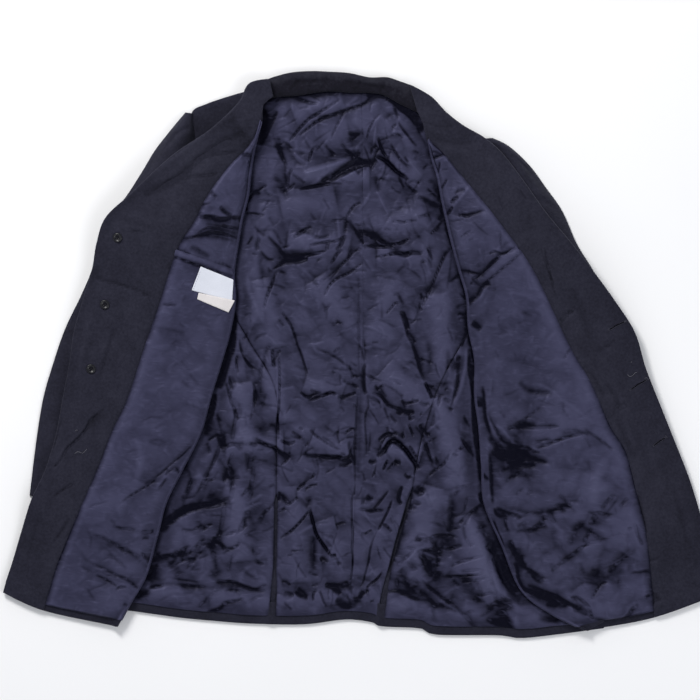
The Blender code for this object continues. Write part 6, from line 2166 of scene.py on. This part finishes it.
def stage(floor_material):
    scene = bpy.context.scene
    scene.view_settings.view_transform = "Standard"
    mesh = bpy.data.meshes.new("floor")
    r = 6.0
    mesh.from_pydata(((-r, -r, 0), (r, -r, 0), (r, r, 0), (-r, r, 0)), [], [(0, 1, 2, 3)])
    floor = bpy.data.objects.new("floor", mesh)
    floor.location.z = -0.0004
    mesh.materials.append(floor_material)
    scene.collection.objects.link(floor)
    world = bpy.data.worlds.new("studio")
    world.use_nodes = True
    background = world.node_tree.nodes["Background"]
    background.inputs["Color"].default_value = (0.93, 0.95, 1.0, 1)
    nodes, links = world.node_tree.nodes, world.node_tree.links
    split = nodes.new("ShaderNodeSeparateXYZ")
    links.new(nodes.new("ShaderNodeTexCoord").outputs["Generated"], split.inputs["Vector"])
    ramp = nodes.new("ShaderNodeMapRange")
    ramp.inputs["To Min"].default_value, ramp.inputs["To Max"].default_value = WORLD_LIGHT
    links.new(split.outputs["Z"], ramp.inputs["Value"])
    links.new(ramp.outputs["Result"], background.inputs["Strength"])
    scene.world = world
    for light in LIGHTS:
        area_light(*light)
    camera = bpy.data.cameras.new("camera")
    camera.sensor_width = 36.0
    camera.lens = camera.sensor_width / 2 / (VIEW_WIDTH * MM / 2 / (CAMERA_HEIGHT - VIEW_LEVEL))
    camera.clip_end = 100.0
    item = bpy.data.objects.new("camera", camera)
    item.location = (VIEW_X * MM, VIEW_Y * MM, CAMERA_HEIGHT)
    scene.collection.objects.link(item)
    scene.camera = item


# ---------------------------------------------------------------- the jacket
def main():
    wool = wool_material("navy_wool", *WOOL_TONES)
    collar_wool = wool_material("navy_wool_collar", *COLLAR_TONES)
    lining = satin_material("navy_satin", *LINING_TONES, LINING_ROUGH)
    plain = {name: plain_material(name, *row) for name, row in PLAIN.items()}

    collar(collar_wool)
    inside = {}
    for side in (RIGHT, LEFT):
        base = upper_base(side)
        shell_panels(side, wool)
        back_lining(side, lining)
        satin = front_lining(side, base, lining)
        inside[side.name] = surface_of(satin, facing(side, base, wool))
        front_shell(side, base, wool)
        lapel(side, wool)
        sleeve(side, wool)

    patch("pocket_welt_right", RIGHT_POCKET, inside["right"], 0.2, 0.7, lining, "lining",
          "pocket_right", 0.7)
    patch("pocket_welt_left", LEFT_POCKET, inside["left"], 0.1, 0.6, lining, "lining",
          "pocket_left", 0.4)
    white_label = patch("white_label", WHITE_LABEL, inside["right"], 0.9, 0.5,
                        plain["label_white"], "label_satin", "label_white")
    patch("cream_label", CREAM_LABEL, inside["right"], 1.5, 0.5, plain["label_cream"],
          "label_cloth", "label_cream")
    on_label = surface_of(white_label)
    stitches = [path for line in LABEL_STITCHES
                for path in stitch_line(on_label, *line, STITCH, STITCH_GAP)]
    thread_piece("label_stitches", stitches, 0.2, plain["grey_thread"])
    loose = [path for side, places in LOOSE_THREADS.items()
             for path in on_surface(inside[side], places, 0.3)]
    thread_piece("loose_threads", loose, 0.3, plain["pale_thread"])
    threads = []
    for k in (1, 2, 3):
        threads += button(f"backing_button_face_{k}", f"backing_button_{k}", BACKING_HOLES,
                          plain["dark_plastic"], BACKING_RIM)
    for k in (1, 2, 3, 4):
        button(f"front_button_face_{k}", f"front_button_{k}", [], plain["dark_plastic"],
               FRONT_RIM)
    thread_piece("backing_button_threads", threads, 0.28, plain["dark_thread"])
    holes = [path for hole in BUTTONHOLES for path in buttonhole(inside["left"], *hole)]
    thread_piece("buttonhole_threads", holes, 0.24, plain["buttonhole_thread"])
    # A near-black rod along each slit paints the shade inside the opening; the facing itself is not
    # cut.
    slit_shadows = on_surface(inside["left"], [cut(*hole) for hole in BUTTONHOLES], -0.35)
    thread_piece("buttonhole_slit_shadows", slit_shadows, 1.1, plain["buttonhole_slit_shadow"])
    stage(plain["pale_floor"])


main()
